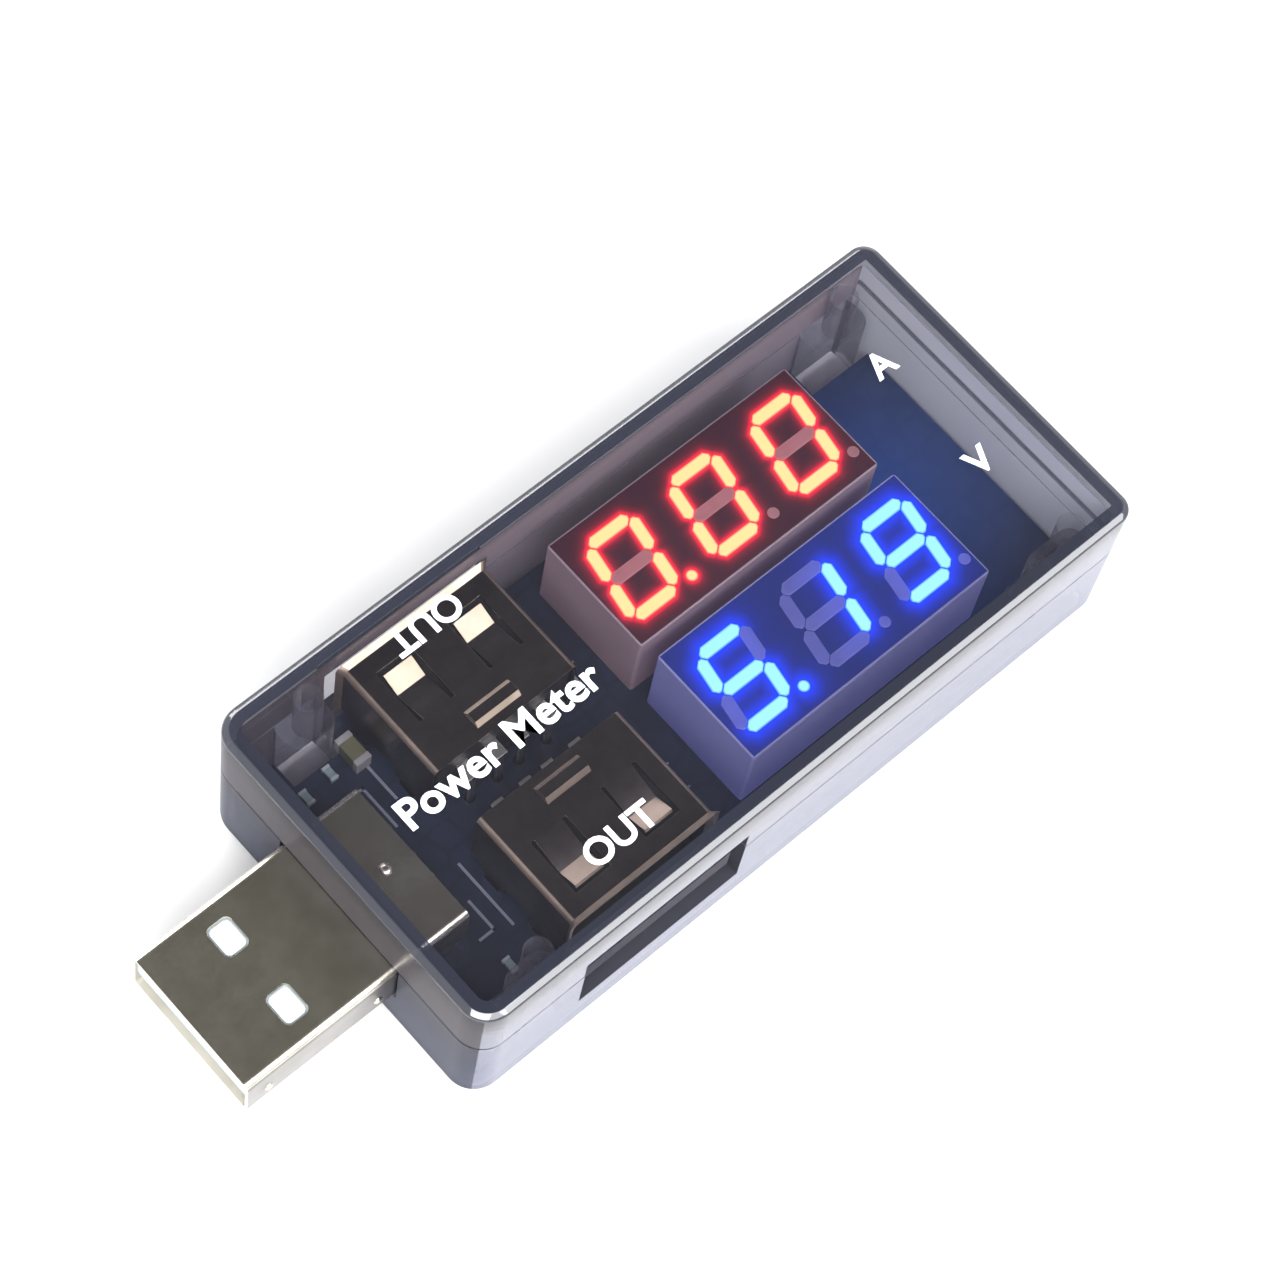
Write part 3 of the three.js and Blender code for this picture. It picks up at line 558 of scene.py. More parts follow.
def chip_body(name, body_color, end_color):
    """A chip component along Y: tinned ends and a coated middle, told apart by place in its box."""
    shader = Shader(name)
    surface = shader.principled({})
    parts = shader.add("ShaderNodeSeparateXYZ")
    shader.link(shader.coordinates("Generated"), parts.inputs[0])
    color = shader.ramp(parts.outputs["Y"], [
        (0.0, end_color), (0.19, end_color), (0.2, body_color),
        (0.8, body_color), (0.81, end_color), (1.0, end_color),
    ])
    shader.link(color, surface.inputs["Base Color"])
    fine = shader.noise(2400, 3)
    shader.roughen(surface, fine, 0.3, 0.5)
    shader.bump(surface, fine, 0.3, 0.02)
    return shader.finish(surface)


def ink(name, color):
    shader = Shader(name)
    surface = shader.principled({})
    shader.mottle(surface, 900, 3, tones(dimmed(color, 0.93), color))
    shader.roughen(surface, shader.noise(3000, 2), 0.4, 0.6)
    return shader.finish(surface)


def lit_resin(name, edge, core, strength):
    """A lit stroke: bright along its middle and deeper in colour at its edge."""
    shader = Shader(name)
    surface = shader.principled({"Roughness": 0.4, "Base Color": (0.02, 0.02, 0.02, 1)})
    depth = shader.add("ShaderNodeAttribute", attribute_name="depth")
    color = shader.ramp(depth.outputs["Fac"], [(0.0, edge), (0.45, core), (1.0, core)])
    unevenness = shader.spread(shader.noise(1400, 2), 0.94, 1.0)
    uneven = shader.add("ShaderNodeVectorMath", operation="SCALE")
    shader.link(color, uneven.inputs[0])
    shader.link(unevenness, uneven.inputs["Scale"])
    shader.emit(surface, uneven.outputs[0], strength)
    return shader.finish(surface)


def dark_resin(name, color, glow, strength):
    """An unlit stroke, faintly lit from its neighbours."""
    shader = Shader(name)
    surface = shader.principled({"Roughness": 0.42})
    shader.mottle(surface, 700, 3, tones(dimmed(color, 0.85), color))
    near = shader.add("ShaderNodeAttribute", attribute_name="glow")
    tint = shader.ramp(near.outputs["Fac"], [(0.0, grey(0.0)), (1.0, glow)])
    shader.emit(surface, tint, strength)
    return shader.finish(surface)


def display_plastic(name, face, glow, strength, idle):
    """The face of a display: matt plastic that catches the light of the lit strokes, with the
    idle share of it reaching everywhere."""
    shader = Shader(name)
    surface = shader.principled({"IOR": MOULDED_IOR, "Specular IOR Level": 0.25})
    shader.mottle(surface, 400, 3, tones(dimmed(face, 0.9), face))
    fine = shader.noise(3600, 2)
    shader.roughen(surface, fine, 0.42, 0.55)
    shader.bump(surface, fine, 0.2, 0.02)
    near = shader.add("ShaderNodeAttribute", attribute_name="glow")
    shares = [(0.0, idle), (0.25, 0.16), (0.6, 0.6), (1.0, 1.0)]
    stops = [(place, dimmed(glow, share)) for place, share in shares]
    tint = shader.ramp(near.outputs["Fac"], stops)
    shader.emit(surface, tint, strength)
    return shader.finish(surface)


# ---------------- places taken from the frame, mm

shell_low, shell_high = span("bottom_shell")
CASE_X = (shell_low.x, shell_high.x)
CASE_Y = (shell_low.y, shell_high.y)
CASE_Z = (shell_low.z, span("top_cover")[1].z - PRINT_RISE)
CASE_HEIGHT = CASE_Z[1] - CASE_Z[0]
SOCKET_X = sum(corner.x for corner in span("far_socket_shell")) / 2
WINDOW_MIDDLE = SOCKET_X + WINDOW_OFFSET
WINDOW_X = (WINDOW_MIDDLE - WINDOW_LENGTH / 2, WINDOW_MIDDLE + WINDOW_LENGTH / 2)
PLUG_LOW, PLUG_HIGH = span("plug_shell")
PLUG_BASE_Z = PLUG_HIGH.z - PLUG_THICKNESS  # the underside of its body, above its legs
BOARD_TOP = span("circuit_board")[1].z
BLUE_CORNER = span("voltage_display_case")[1]

# ---------------- materials

LIP_LINE = (0.07, 0.074, 0.092)
MAT = {
    "clear": case_plastic("smoky_plastic", [
        (0, (0.12, 0.12, 0.15)), (15, (0.10, 0.10, 0.12)),
    ], 0.045, (0.90, 0.89, 0.91)),
    # A darker copy of the plastic for the band round the top: painted shade.
    "rim": case_plastic("smoky_plastic_rim", [
        (0, (0.04, 0.043, 0.06)), (15, (0.018, 0.02, 0.032)),
    ], 0.8, (0.45, 0.47, 0.56), 0.08, ior=2.0),
    # Painted shade by height on the outer walls: darker at the foot and in a band under the top
    # edge.
    "outer_wall": case_plastic("smoky_plastic_outer_wall", [
        (0, (0.075, 0.085, 0.137)), (2.5, (0.115, 0.125, 0.183)), (8.5, (0.152, 0.16, 0.216)),
        (9.6, (0.185, 0.19, 0.24)), (12.2, (0.18, 0.18, 0.215)), (13.8, (0.09, 0.086, 0.095)),
        (15, (0.045, 0.043, 0.047)),
    ], 0.74, (0.7, 0.7, 0.78), 0.22),
    # The far wall's inside: painted light and shade by height, a painted glow, and painted shade
    # towards the plug end.
    "far_wall": case_plastic("smoky_plastic_far_wall", [
        (0, (0.18, 0.18, 0.22)), (9, (0.29, 0.25, 0.28)), (12.5, (0.32, 0.26, 0.28)),
        (15, (0.07, 0.063, 0.07)),
    ], 0.66, (0.5, 0.5, 0.55), 0.2, painted_glow=(0.022, 0.016, 0.018), plug_end=(0.2, 0.23, 0.25)),
    # The end wall's inside: a lighter copy with a painted glow, painted light and shade by height,
    # and a dark line at LIP_Z.
    "end_wall": case_plastic("smoky_plastic_end_wall", [
        (0, (0.37, 0.40, 0.42)), (LIP_Z - 0.45, (0.51, 0.55, 0.57)), (LIP_Z - 0.2, LIP_LINE),
        (LIP_Z + 0.2, LIP_LINE), (LIP_Z + 0.45, (0.55, 0.585, 0.62)), (13.5, (0.57, 0.61, 0.65)),
        (14, (0.10, 0.10, 0.14)), (15, (0.05, 0.05, 0.07)),
    ], 0.8, (0.5, 0.5, 0.56), 0.24, painted_glow=(0.045, 0.046, 0.052), drift_range=0.006),
    # A darker copy for the plug end's walls: painted shade.
    "plug_wall": case_plastic("smoky_plastic_plug_wall", [
        (0, (0.03, 0.035, 0.06)), (4, (0.042, 0.049, 0.08)), (9, (0.048, 0.048, 0.068)),
        (9.6, (0.072, 0.066, 0.078)), (12.5, (0.068, 0.06, 0.07)), (15, (0.03, 0.03, 0.034)),
    ], 0.62, (0.34, 0.35, 0.42), 0.3, gloss=0.15),
    # A darker copy for the cut edges of the windows: painted shade.
    "window": case_plastic("smoky_plastic_window", [
        (0, (0.03, 0.03, 0.04)), (15, (0.04, 0.04, 0.05)),
    ], 0.85, (0.3, 0.3, 0.36), 0.3, gloss=0.2),
    # The posts: a copy of the plastic with a faint painted glow.
    "post": case_plastic("smoky_plastic_post", [
        (0, (0.10, 0.10, 0.12)), (15, (0.16, 0.155, 0.17)),
    ], 0.2, (0.86, 0.85, 0.88), 0.2, painted_glow=(0.01, 0.01, 0.012)),
    "board": solder_mask((BLUE_CORNER.x + 1, BLUE_CORNER.y + 1, BOARD_TOP), 13.0),
    "plug": metal("plug_steel", (0.50, 0.475, 0.40), (0.60, 0.575, 0.49), 0.24, (1, 5, 5)),
    # plug_side, plug_inside and plug_edge are copies of the plug's steel: painted shade on its
    # sides, painted light inside its mouth, painted highlights on its edges and bumps.
    "plug_side": metal("plug_steel_side", (0.26, 0.25, 0.24), (0.32, 0.305, 0.295), 0.3, (1, 5, 5)),
    "plug_inside": metal("plug_steel_inside", (0.40, 0.385, 0.33), (0.46, 0.44, 0.38), 0.5,
                         metallic=0.1),
    "plug_edge": metal("plug_steel_edge", (0.58, 0.54, 0.46), (0.70, 0.66, 0.57), 0.26,
                       pitting=0.04),
    "socket": metal("socket_steel", (0.105, 0.092, 0.088), (0.14, 0.122, 0.117), 0.3, (5, 1, 5)),
    # socket_edge, socket_rim and socket_inside are copies of the socket steel: a bright painted
    # highlight on the far socket's bends, a dimmer painted highlight on the near socket's bends and
    # the folded edges, and painted shade inside the sockets.
    "socket_edge": metal("socket_steel_edge", (0.60, 0.50, 0.35), (0.72, 0.62, 0.46), 0.3,
                         metallic=0.5, pitting=0.02),
    "socket_rim": metal("socket_steel_rim", (0.20, 0.16, 0.125), (0.27, 0.215, 0.17), 0.34,
                        metallic=0.7, pitting=0.02),
    "socket_inside": metal("socket_steel_inside", (0.05, 0.047, 0.046), (0.07, 0.065, 0.062), 0.4),
    "gold": metal("contact_gold", (0.78, 0.58, 0.26), (0.86, 0.68, 0.34), 0.28),
    "tin": metal("pin_tin", (0.62, 0.61, 0.58), (0.76, 0.75, 0.72), 0.34),
    "solder": metal("solder", (0.62, 0.60, 0.54), (0.80, 0.78, 0.72), 0.24),
    "white": plain_plastic("white_plastic", (0.36, 0.40, 0.42), (0.40, 0.44, 0.46), 0.42),
    "black": plain_plastic("black_plastic", grey(0.012), grey(0.02), 0.5),
    # The display sides carry a painted glow in the colour of their display's light.
    "red_side": plain_plastic("red_display_side", (0.18, 0.14, 0.16), (0.21, 0.165, 0.19), 0.4,
                              painted_glow=(0.032, 0.015, 0.02)),
    "blue_side": plain_plastic("blue_display_side", (0.13, 0.135, 0.24), (0.155, 0.16, 0.28), 0.4,
                               painted_glow=(0.016, 0.022, 0.11)),
    "base": plain_plastic("base_laminate", (0.55, 0.52, 0.38), (0.62, 0.58, 0.44), 0.55),
    "ceramic": chip_body("capacitor_ceramic", (0.10, 0.10, 0.055), grey(0.24)),
    "resistor": chip_body("resistor_body", grey(0.02), grey(0.5)),
    "pale_chip": chip_body("pale_chip_body", (0.19, 0.25, 0.26), (0.30, 0.36, 0.36)),
    "print": ink("white_print", (0.86, 0.89, 0.94)),
    "silk": ink("board_print", (0.20, 0.22, 0.28)),
}

# ---------------- case

# One case plastic in lit and shaded copies: these kinds paint light and shade on each part.
CASE_KINDS = ("clear", "rim", "outer_wall", "far_wall", "end_wall", "plug_wall", "window", "post")
OUTWARD = {
    "plug": Vector((-1, 0, 0)), "end": Vector((1, 0, 0)),
    "near": Vector((0, -1, 0)), "far": Vector((0, 1, 0)),
}
# Which painted light and shade copy each wall face takes, by side, inside and out.
INNER_KINDS = {"plug": "plug_wall", "end": "end_wall", "near": "clear", "far": "far_wall"}
OUTER_KINDS = {"plug": "plug_wall", "end": "outer_wall", "near": "outer_wall", "far": "outer_wall"}


def inset_x(amount):
    return CASE_X[0] + amount, CASE_X[1] - amount


def inset_y(amount):
    return CASE_Y[0] + amount, CASE_Y[1] - amount


def on_side(side, inner, outer):
    """The y range between two distances from the middle of the case, on the far or near side."""
    return (inner, outer) if side > 0 else (-outer, -inner)


def side_window(side):
    y = on_side(side, CASE_Y[1] - WALL - PAST, CASE_Y[1] + PAST)
    return block("window", WINDOW_X, y, WINDOW_Z)


def wall_depth(point, side):
    """How far in from a side of the case a point is."""
    return {
        "plug": point.x - CASE_X[0], "end": CASE_X[1] - point.x,
        "near": point.y - CASE_Y[0], "far": CASE_Y[1] - point.y,
    }[side]


def within(value, ends, margin):
    return ends[0] - margin < value < ends[1] + margin


def mark_walls(mesh):
    """Sorts the case's faces: its clear top and bottom, the rim round its top, its walls, the cut
    edges of its windows and its posts. Each kind is a copy of the one case plastic whose tone
    paints the light and shade on that part."""
    for polygon in mesh.polygons:
        centre = polygon.center / MM
        depths = {side: wall_depth(centre, side) for side in OUTWARD}
        side = min(depths, key=depths.get)
        depth = depths[side]
        by_window = within(centre.x, WINDOW_X, NEAR_BY) and within(centre.z, WINDOW_Z, NEAR_BY)
        in_wall = within(depth, (0, WALL), -NEAR_BY) and abs(polygon.normal.y) < 0.5
        if polygon.normal.z > 0.05 and centre.z > CASE_Z[1] - 0.5 and depth < RIM:
            kind = "rim"
        elif by_window and in_wall:
            kind = "window"
        elif abs(polygon.normal.z) > 0.8:
            kind = "clear"
        elif depth > WALL + 0.3:
            kind = "post"
        else:
            faces_out = polygon.normal.dot(OUTWARD[side]) > 0
            kind = (OUTER_KINDS if faces_out else INNER_KINDS)[side]
        polygon.material_index = CASE_KINDS.index(kind)


def build_skin():
    """The whole hollow case, before it is parted into its two halves."""
    top_edge = faceted_round(TOP_ROUND, TOP_FACET, TOP_FACET_TILT)
    outer = slab("outer", CASE_X, CASE_Y, CASE_Z, (PLUG_CORNER, FAR_CORNER),
                 quarter_round(BOTTOM_FILLET, 8), top_edge, RIM, 12)
    hollow_z = (CASE_Z[0] + FLOOR, CASE_Z[1] - FLOOR)
    corners = (PLUG_CORNER - WALL, FAR_CORNER - WALL)
    hollow = slab("hollow", inset_x(WALL), inset_y(WALL), hollow_z, corners,
                  quarter_round(0.5, 4), quarter_round(0.3, 3), segments=6)
    return boolean(outer, hollow)


def build_case():
    skin = build_skin()
    big_x, big_y = inset_x(-CLEAR_OF_CASE), inset_y(-CLEAR_OF_CASE)
    above = block("upper", big_x, big_y, (SEAM_Z + SEAM_GAP, CASE_Z[1] + CLEAR_OF_CASE))
    below = block("lower", big_x, big_y, (CASE_Z[0] - CLEAR_OF_CASE, SEAM_Z - SEAM_GAP))
    upper = boolean(skin.copy(), above, "INTERSECT")
    lower = boolean(skin, below, "INTERSECT")

    post_z = (CASE_Z[0] + FLOOR / 2, SEAM_Z - SEAM_GAP)
    boss_z = (SEAM_Z + SEAM_GAP, CASE_Z[1] - FLOOR / 2)
    for x0, x1 in POST_SPANS:
        for side in (-1, 1):
            x = (CASE_X[0] + x0, CASE_X[0] + x1)
            y = on_side(side, POST_INNER, CASE_Y[1] - WALL / 2)
            post = slab("post", x, y, post_z, POST_CORNER, top=quarter_round(0.15, 3), segments=6)
            lower = boolean(lower, post, "UNION")
            outline = circle(CASE_X[0] + (x0 + x1) / 2, side * PIN_Y, BOSS_RADIUS, 24)
            upper = boolean(upper, prism("boss", outline, boss_z), "UNION")

    for side in (-1, 1):
        upper = boolean(upper, side_window(side))
        lower = boolean(lower, side_window(side))
    slot_x = (CASE_X[0] - PAST, CASE_X[0] + WALL + 0.6)
    slot_y = (PLUG_LOW.y - SLOT_GAP, PLUG_HIGH.y + SLOT_GAP)
    slot_z = (PLUG_BASE_Z - SLOT_GAP_BELOW, CASE_Z[1] - 2)
    lower = boolean(lower, block("slot", slot_x, slot_y, slot_z))

    kinds = [MAT[kind] for kind in CASE_KINDS]
    for node, mesh in (("top_cover", upper), ("bottom_shell", lower)):
        mesh = bevelled(mesh, 0.07, 2, 40)
        mark_walls(mesh)
        new_piece(f"{node}_fine", mesh, kinds, replaces=[node])


# ---------------- printing on the cover

def lettering(name, words, x, y, turn=0.0):
    """Printed letters that fill x and y on the cover's top, upright or turned round."""
    curve = bpy.data.curves.new(name, "FONT")
    curve.body = words
    curve.offset = LETTER_WEIGHT
    curve.extrude = 0.5
    curve.resolution_u = 5
    mesh = evaluated(curve)
    points = [vertex.co.copy() for vertex in mesh.vertices]
    low = Vector((min(p.x for p in points), min(p.y for p in points)))
    high = Vector((max(p.x for p in points), max(p.y for p in points)))
    centre = Vector(((x[0] + x[1]) / 2, (y[0] + y[1]) / 2))
    spin = Matrix.Rotation(math.radians(turn), 2)
    for vertex, point in zip(mesh.vertices, points):
        across = ((point.x - low.x) / (high.x - low.x) - 0.5) * (x[1] - x[0])
        up = ((point.y - low.y) / (high.y - low.y) - 0.5) * (y[1] - y[0])
        place = centre + spin @ Vector((across, up))
        level = CASE_Z[1] + (PRINT_RISE if point.z > 0 else -SUNK)
        vertex.co = Vector((CASE_X[0] + place.x, place.y, level)) * MM
    return new_piece(name, mesh, MAT["print"], smooth=20)


def build_print():
    lettering("print_title", "Power Meter", (5.6, 22.7), (-0.45, 1.85))
    lettering("print_out_near", "OUT", (13.1, 18.9), (-10.2, -8.2))
    lettering("print_out_far", "OUT", (13.1, 18.9), (9.5, 11.55), 180)
    lettering("print_ampere", "A", (53.1, 55.1), (4.75, 6.75))
    lettering("print_volt", "V", (53.3, 55.3), (-5.2, -3.2))


# ---------------- plug

def build_plug():
    middle = Vector((0, (PLUG_LOW.y + PLUG_HIGH.y) / 2, (PLUG_BASE_Z + PLUG_HIGH.z) / 2))

    def is_side(face):
        return abs(face.normal.y) > UPRIGHT

    # The sides take painted shade, the leaning edges painted highlights, and the inside painted
    # light.
    shell = refine(
        "plug_shell", MAT["plug"], 0.09, 3, MAT["plug_edge"], (MAT["plug_side"], is_side)
    )
    mark_inside(shell, middle, 1, MAT["plug_inside"])
    refine("plug_insulator", MAT["white"], 0.12, 3)
    for index in range(1, 5):
        refine(f"plug_contact_{index}", MAT["gold"], 0.04)

    # The bumps take the lighter edge steel: a painted highlight.
    top_x, top_y = CASE_X[0] + TOP_BUMP[0], middle.y + TOP_BUMP[1]
    top_bump = dome("top_bump", top_x, top_y, 0.5, PLUG_HIGH.z - BUMP_SUNK, 0.3)
    new_piece("plug_top_bump", top_bump, MAT["plug_edge"])
    side_bumps = []
    for x in SIDE_BUMPS_X:
        bump = dome("side_bump", 0, 0, 0.38, -BUMP_SUNK, 0.22)
        bump.transform(Matrix.Rotation(math.radians(90), 4, "X"))
        place = Vector((CASE_X[0] + x, PLUG_LOW.y, PLUG_BASE_Z + SIDE_BUMP_RISE)) * MM
        bump.transform(Matrix.Translation(place))
        side_bumps.append(bump)
    new_piece("plug_side_bumps", joined("plug_side_bumps", side_bumps), MAT["plug_edge"])


# ---------------- sockets

def build_sockets():
    # The far socket's leaning faces take a bright painted highlight, the near socket's and the
    # folded edges a dimmer one; the insides take painted shade.
    for side, lit_edge in (("far", MAT["socket_edge"]), ("near", MAT["socket_rim"])):
        low, high = span(f"{side}_socket_shell")

        def is_folded_edge(face):
            place = face.center / MM
            to_end = min(place.x - low.x, high.x - place.x)
            to_back = place.y - low.y if side == "far" else high.y - place.y
            return leans(face) and min(to_end, to_back) < FOLD_REACH

        shell = refine(f"{side}_socket_shell", MAT["socket"], 0.07, 2, lit_edge,
                       (MAT["socket_rim"], is_folded_edge))
        tongue_low, tongue_high = span(f"{side}_socket_tongue")
        mark_inside(shell, (tongue_low + tongue_high) / 2, 0, MAT["socket_inside"])
        refine(f"{side}_socket_tongue", MAT["black"], 0.08)
        for index in range(1, 5):
            refine(f"{side}_contact_beam_{index}", MAT["gold"], 0.03)
            refine(f"{side}_contact_tail_{index}", MAT["tin"], 0.04)


# ---------------- displays

def stroke_lines():
    x = (DIGIT_SIZE[0] - STROKE) / 2
    y = (DIGIT_SIZE[1] - STROKE) / 2
    return {
        "a": ((-x, y), (x, y)), "b": ((x, 0), (x, y)), "c": ((x, -y), (x, 0)),
        "d": ((-x, -y), (x, -y)), "e": ((-x, -y), (-x, 0)), "f": ((-x, 0), (-x, y)),
        "g": ((-x, 0), (x, 0)),
    }


def stroke_loop(line, inset):
    """The outline of one stroke, leaning, as (x, y) points with softened tips."""
    (x0, y0), (x1, y1) = line
    half = STROKE / 2 - inset
    length = math.hypot(x1 - x0, y1 - y0)
    along = ((x1 - x0) / length, (y1 - y0) / length)
    start, end = STROKE_GAP + inset, length - STROKE_GAP - inset
    tip = STROKE_TIP
    corners = [
        (start, -tip), (start + half - tip, -half), (start + half + tip, -half),
        (end - half - tip, -half), (end - half + tip, -half), (end, -tip),
        (end, tip), (end - half + tip, half), (end - half - tip, half),
        (start + half + tip, half), (start + half - tip, half), (start, tip),
    ]
    loop = []
    for u, v in corners:
        x = x0 + along[0] * u - along[1] * v
        y = y0 + along[1] * u + along[0] * v
        loop.append((x + y * DIGIT_SLANT, y))
    return loop


def point_loop(inset):
    return circle(*POINT_OFFSET, POINT_RADIUS - inset, 12)


def strokes(name):
    """Every stroke and point of a display: (loop maker, lit, centre x)."""
    low, high = span(f"{name}_display_case")
    middle_x = (low.x + high.x) / 2
    for place, lit in zip((-1, 0, 1), LIT[name]):
        x = middle_x + place * DIGIT_PITCH
        for key, line in stroke_lines().items():
            yield (lambda inset, line=line: stroke_loop(line, inset)), key in lit, x
        yield point_loop, "." in lit, x


def distance_to_loop(point, loop):
    """Signed distance from a point to a convex loop, negative inside."""
    worst = -1e9
    best = 1e9
    count = len(loop)
    for i in range(count):
        a, b = Vector(loop[i]), Vector(loop[(i + 1) % count])
        edge = b - a
        to_point = point - a
        cross = edge.x * to_point.y - edge.y * to_point.x
        worst = max(worst, -cross / max(edge.length, 1e-6))
        share = min(max(to_point.dot(edge) / max(edge.length_squared, 1e-9), 0.0), 1.0)
        best = min(best, (to_point - edge * share).length)
    return best if worst > 0 else -best


def glow_at(point, lit_shapes, reach):
    """How much light reaches a point of the face from the nearest lit stroke."""
    most = 0.0
    for centre, radius, loop in lit_shapes:
        if (point - centre).length - radius > reach * GLOW_LIMIT:
            continue
        gap = max(distance_to_loop(point, loop), 0.0)
        most = max(most, math.exp(-gap / reach))
    return most


def shapes_that_shine(name, middle_y):
    """The lit strokes of a display: (centre, radius of a circle round it, outline)."""
    shapes = []
    for maker, lit, x in strokes(name):
        if not lit:
            continue
        loop = [(px + x, py + middle_y) for px, py in maker(0.0)]
        centre = sum((Vector(p) for p in loop), Vector((0, 0))) / len(loop)
        radius = max((Vector(p) - centre).length for p in loop)
        shapes.append((centre, radius, loop))
    return shapes


def add_attribute(mesh, name, values):
    attribute = mesh.attributes.new(name, "FLOAT", "POINT")
    attribute.data.foreach_set("value", values)


def face_plate(name, low, high):
    """A thin closed plate over a display's face. Its top is a fine grid that can carry the glow."""
    length = high.x - low.x - 2 * PLATE_INSET
    width = high.y - low.y - 2 * PLATE_INSET
    columns, rows = int(length / PLATE_STEP), int(width / PLATE_STEP)
    bm = bmesh.new()
    grid = []
    for row in range(rows + 1):
        y = low.y + PLATE_INSET + width * row / rows
        xs = [low.x + PLATE_INSET + length * column / columns for column in range(columns + 1)]
        grid.append([bm.verts.new((x, y, high.z)) for x in xs])
    for line, following in zip(grid, grid[1:]):
        for i in range(columns):
            bm.faces.new((line[i], line[i + 1], following[i + 1], following[i]))
    edge = grid[0] + [line[-1] for line in grid[1:]]
    edge += grid[-1][-2::-1] + [line[0] for line in grid[-2:0:-1]]
    foot = [bm.verts.new((vert.co.x, vert.co.y, high.z - PLATE_THICKNESS)) for vert in edge]
    for i in range(len(edge)):
        j = (i + 1) % len(edge)
        bm.faces.new((foot[i], foot[j], edge[j], edge[i]))
    bm.faces.new(list(reversed(foot)))
    return to_mesh(name, bm)


# From the foot of a stroke to its crown: inset, rise over the face, and depth into the stroke.
STROKE_RINGS = (
    (0.0, -0.4, 0.0), (0.0, 0.005, 0.0), (0.05, 0.025, 0.12), (0.16, 0.035, 0.5), (0.3, 0.04, 1.0),
)


def stroke_columns(name, middle_y, face_z, lit_shapes, reach):
    """The strokes of a display: resin columns that end just proud of its face, with a crowned
    top. Their points carry the depth into the stroke and, where it is unlit, the glow."""
    columns, depths, glows = [], [], []
    reach *= RESIN_REACH
    for maker, lit, x in strokes(name):
        loops = []
        for inset, rise, depth in STROKE_RINGS:
            ring = [(px + x, py + middle_y) for px, py in maker(inset)]
            loops.append([(px, py, face_z + rise) for px, py in ring])
            for point in ring:
                depths.append(depth)
                glows.append(0.0 if lit else glow_at(Vector(point), lit_shapes, reach))
        column = to_mesh("column", stacked(loops))
        for polygon in column.polygons:
            polygon.material_index = 0 if lit else 1
        columns.append(column)
    mesh = joined(f"{name}_strokes", columns)
    add_attribute(mesh, "depth", depths)
    add_attribute(mesh, "glow", glows)
    return mesh


def build_display(name, face, glow, reach, idle, strokes_material, dark_material, side_material,
                  strength):
    low, high = span(f"{name}_display_case")
    middle_y = (low.y + high.y) / 2
    lit_shapes = shapes_that_shine(name, middle_y)

    shell_z = (low.z, high.z - PLATE_RISE)
    shell = slab(f"{name}_case", (low.x, high.x), (low.y, high.y), shell_z, DISPLAY_CORNER,
                 top=quarter_round(DISPLAY_ROUND, 3), segments=3)
    for polygon in shell.polygons:
        polygon.material_index = 1
    body = joined(f"{name}_display_case_fine", [shell, face_plate(f"{name}_plate", low, high)])
    points = [vertex.co / MM for vertex in body.vertices]
    add_attribute(body, "glow", [
        glow_at(point.xy, lit_shapes, reach) if high.z - point.z < FACE_DEPTH else 0.0
        for point in points
    ])
    material = display_plastic(f"{name}_display_plastic", face, glow, strength, idle)
    new_piece(f"{name}_display_case_fine", body, [material, side_material],
              replaces=[f"{name}_display_case"])

    resin = f"{name}_display_resin"
    columns = stroke_columns(name, middle_y, high.z, lit_shapes, reach)
    new_piece(f"{name}_display_strokes", columns, [strokes_material, dark_material],
              replaces=[resin])
    refine(f"{name}_display_base", MAT["base"], 0.04)


def build_displays():
    build_display(
        "current", (0.030, 0.007, 0.015), (1.0, 0.010, 0.040), 0.25, 0.006,
        lit_resin("red_resin_lit", (1.0, 0.09, 0.05), (1.0, 0.76, 0.30), 1.5),
        dark_resin("red_resin_dark", (0.24, 0.11, 0.12), (0.5, 0.02, 0.04), 0.5),
        MAT["red_side"], 1.9,
    )
    build_display(
        "voltage", (0.006, 0.014, 0.085), (0.001, 0.034, 1.0), 0.82, 0.05,
        lit_resin("blue_resin_lit", (0.02, 0.30, 1.0), (0.34, 0.88, 1.0), 1.5),
        dark_resin("blue_resin_dark", (0.07, 0.08, 0.27), (0.01, 0.04, 0.5), 0.8),
        MAT["blue_side"], 1.4,
    )


# ---------------- board and small parts

def silk_bars():
    """Printed lines on the board as (x0, x1, y0, y1) from the plug end, mm."""
    line = 0.22
    plug_x, plug_y = 8.2, 7.2
    bars = [
        (plug_x - line, plug_x, 3.4, plug_y), (5.2, plug_x, plug_y - line, plug_y),
        (plug_x, plug_x + line, -6.6, -3.8), (plug_x - 1.2, plug_x + line, -6.6, -6.6 + line),
        (9.45, 9.45 + line, -7.1, -1.3), (9.3, 9.3 + line, 5.0, 8.2),
    ]
    for x, y in ((24.7, 4.0), (24.7, -6.0)):
        bars += [(x - 1.1, x + 1.1, y + side, y + side + 0.15) for side in (-1.2, 1.05)]
    return bars


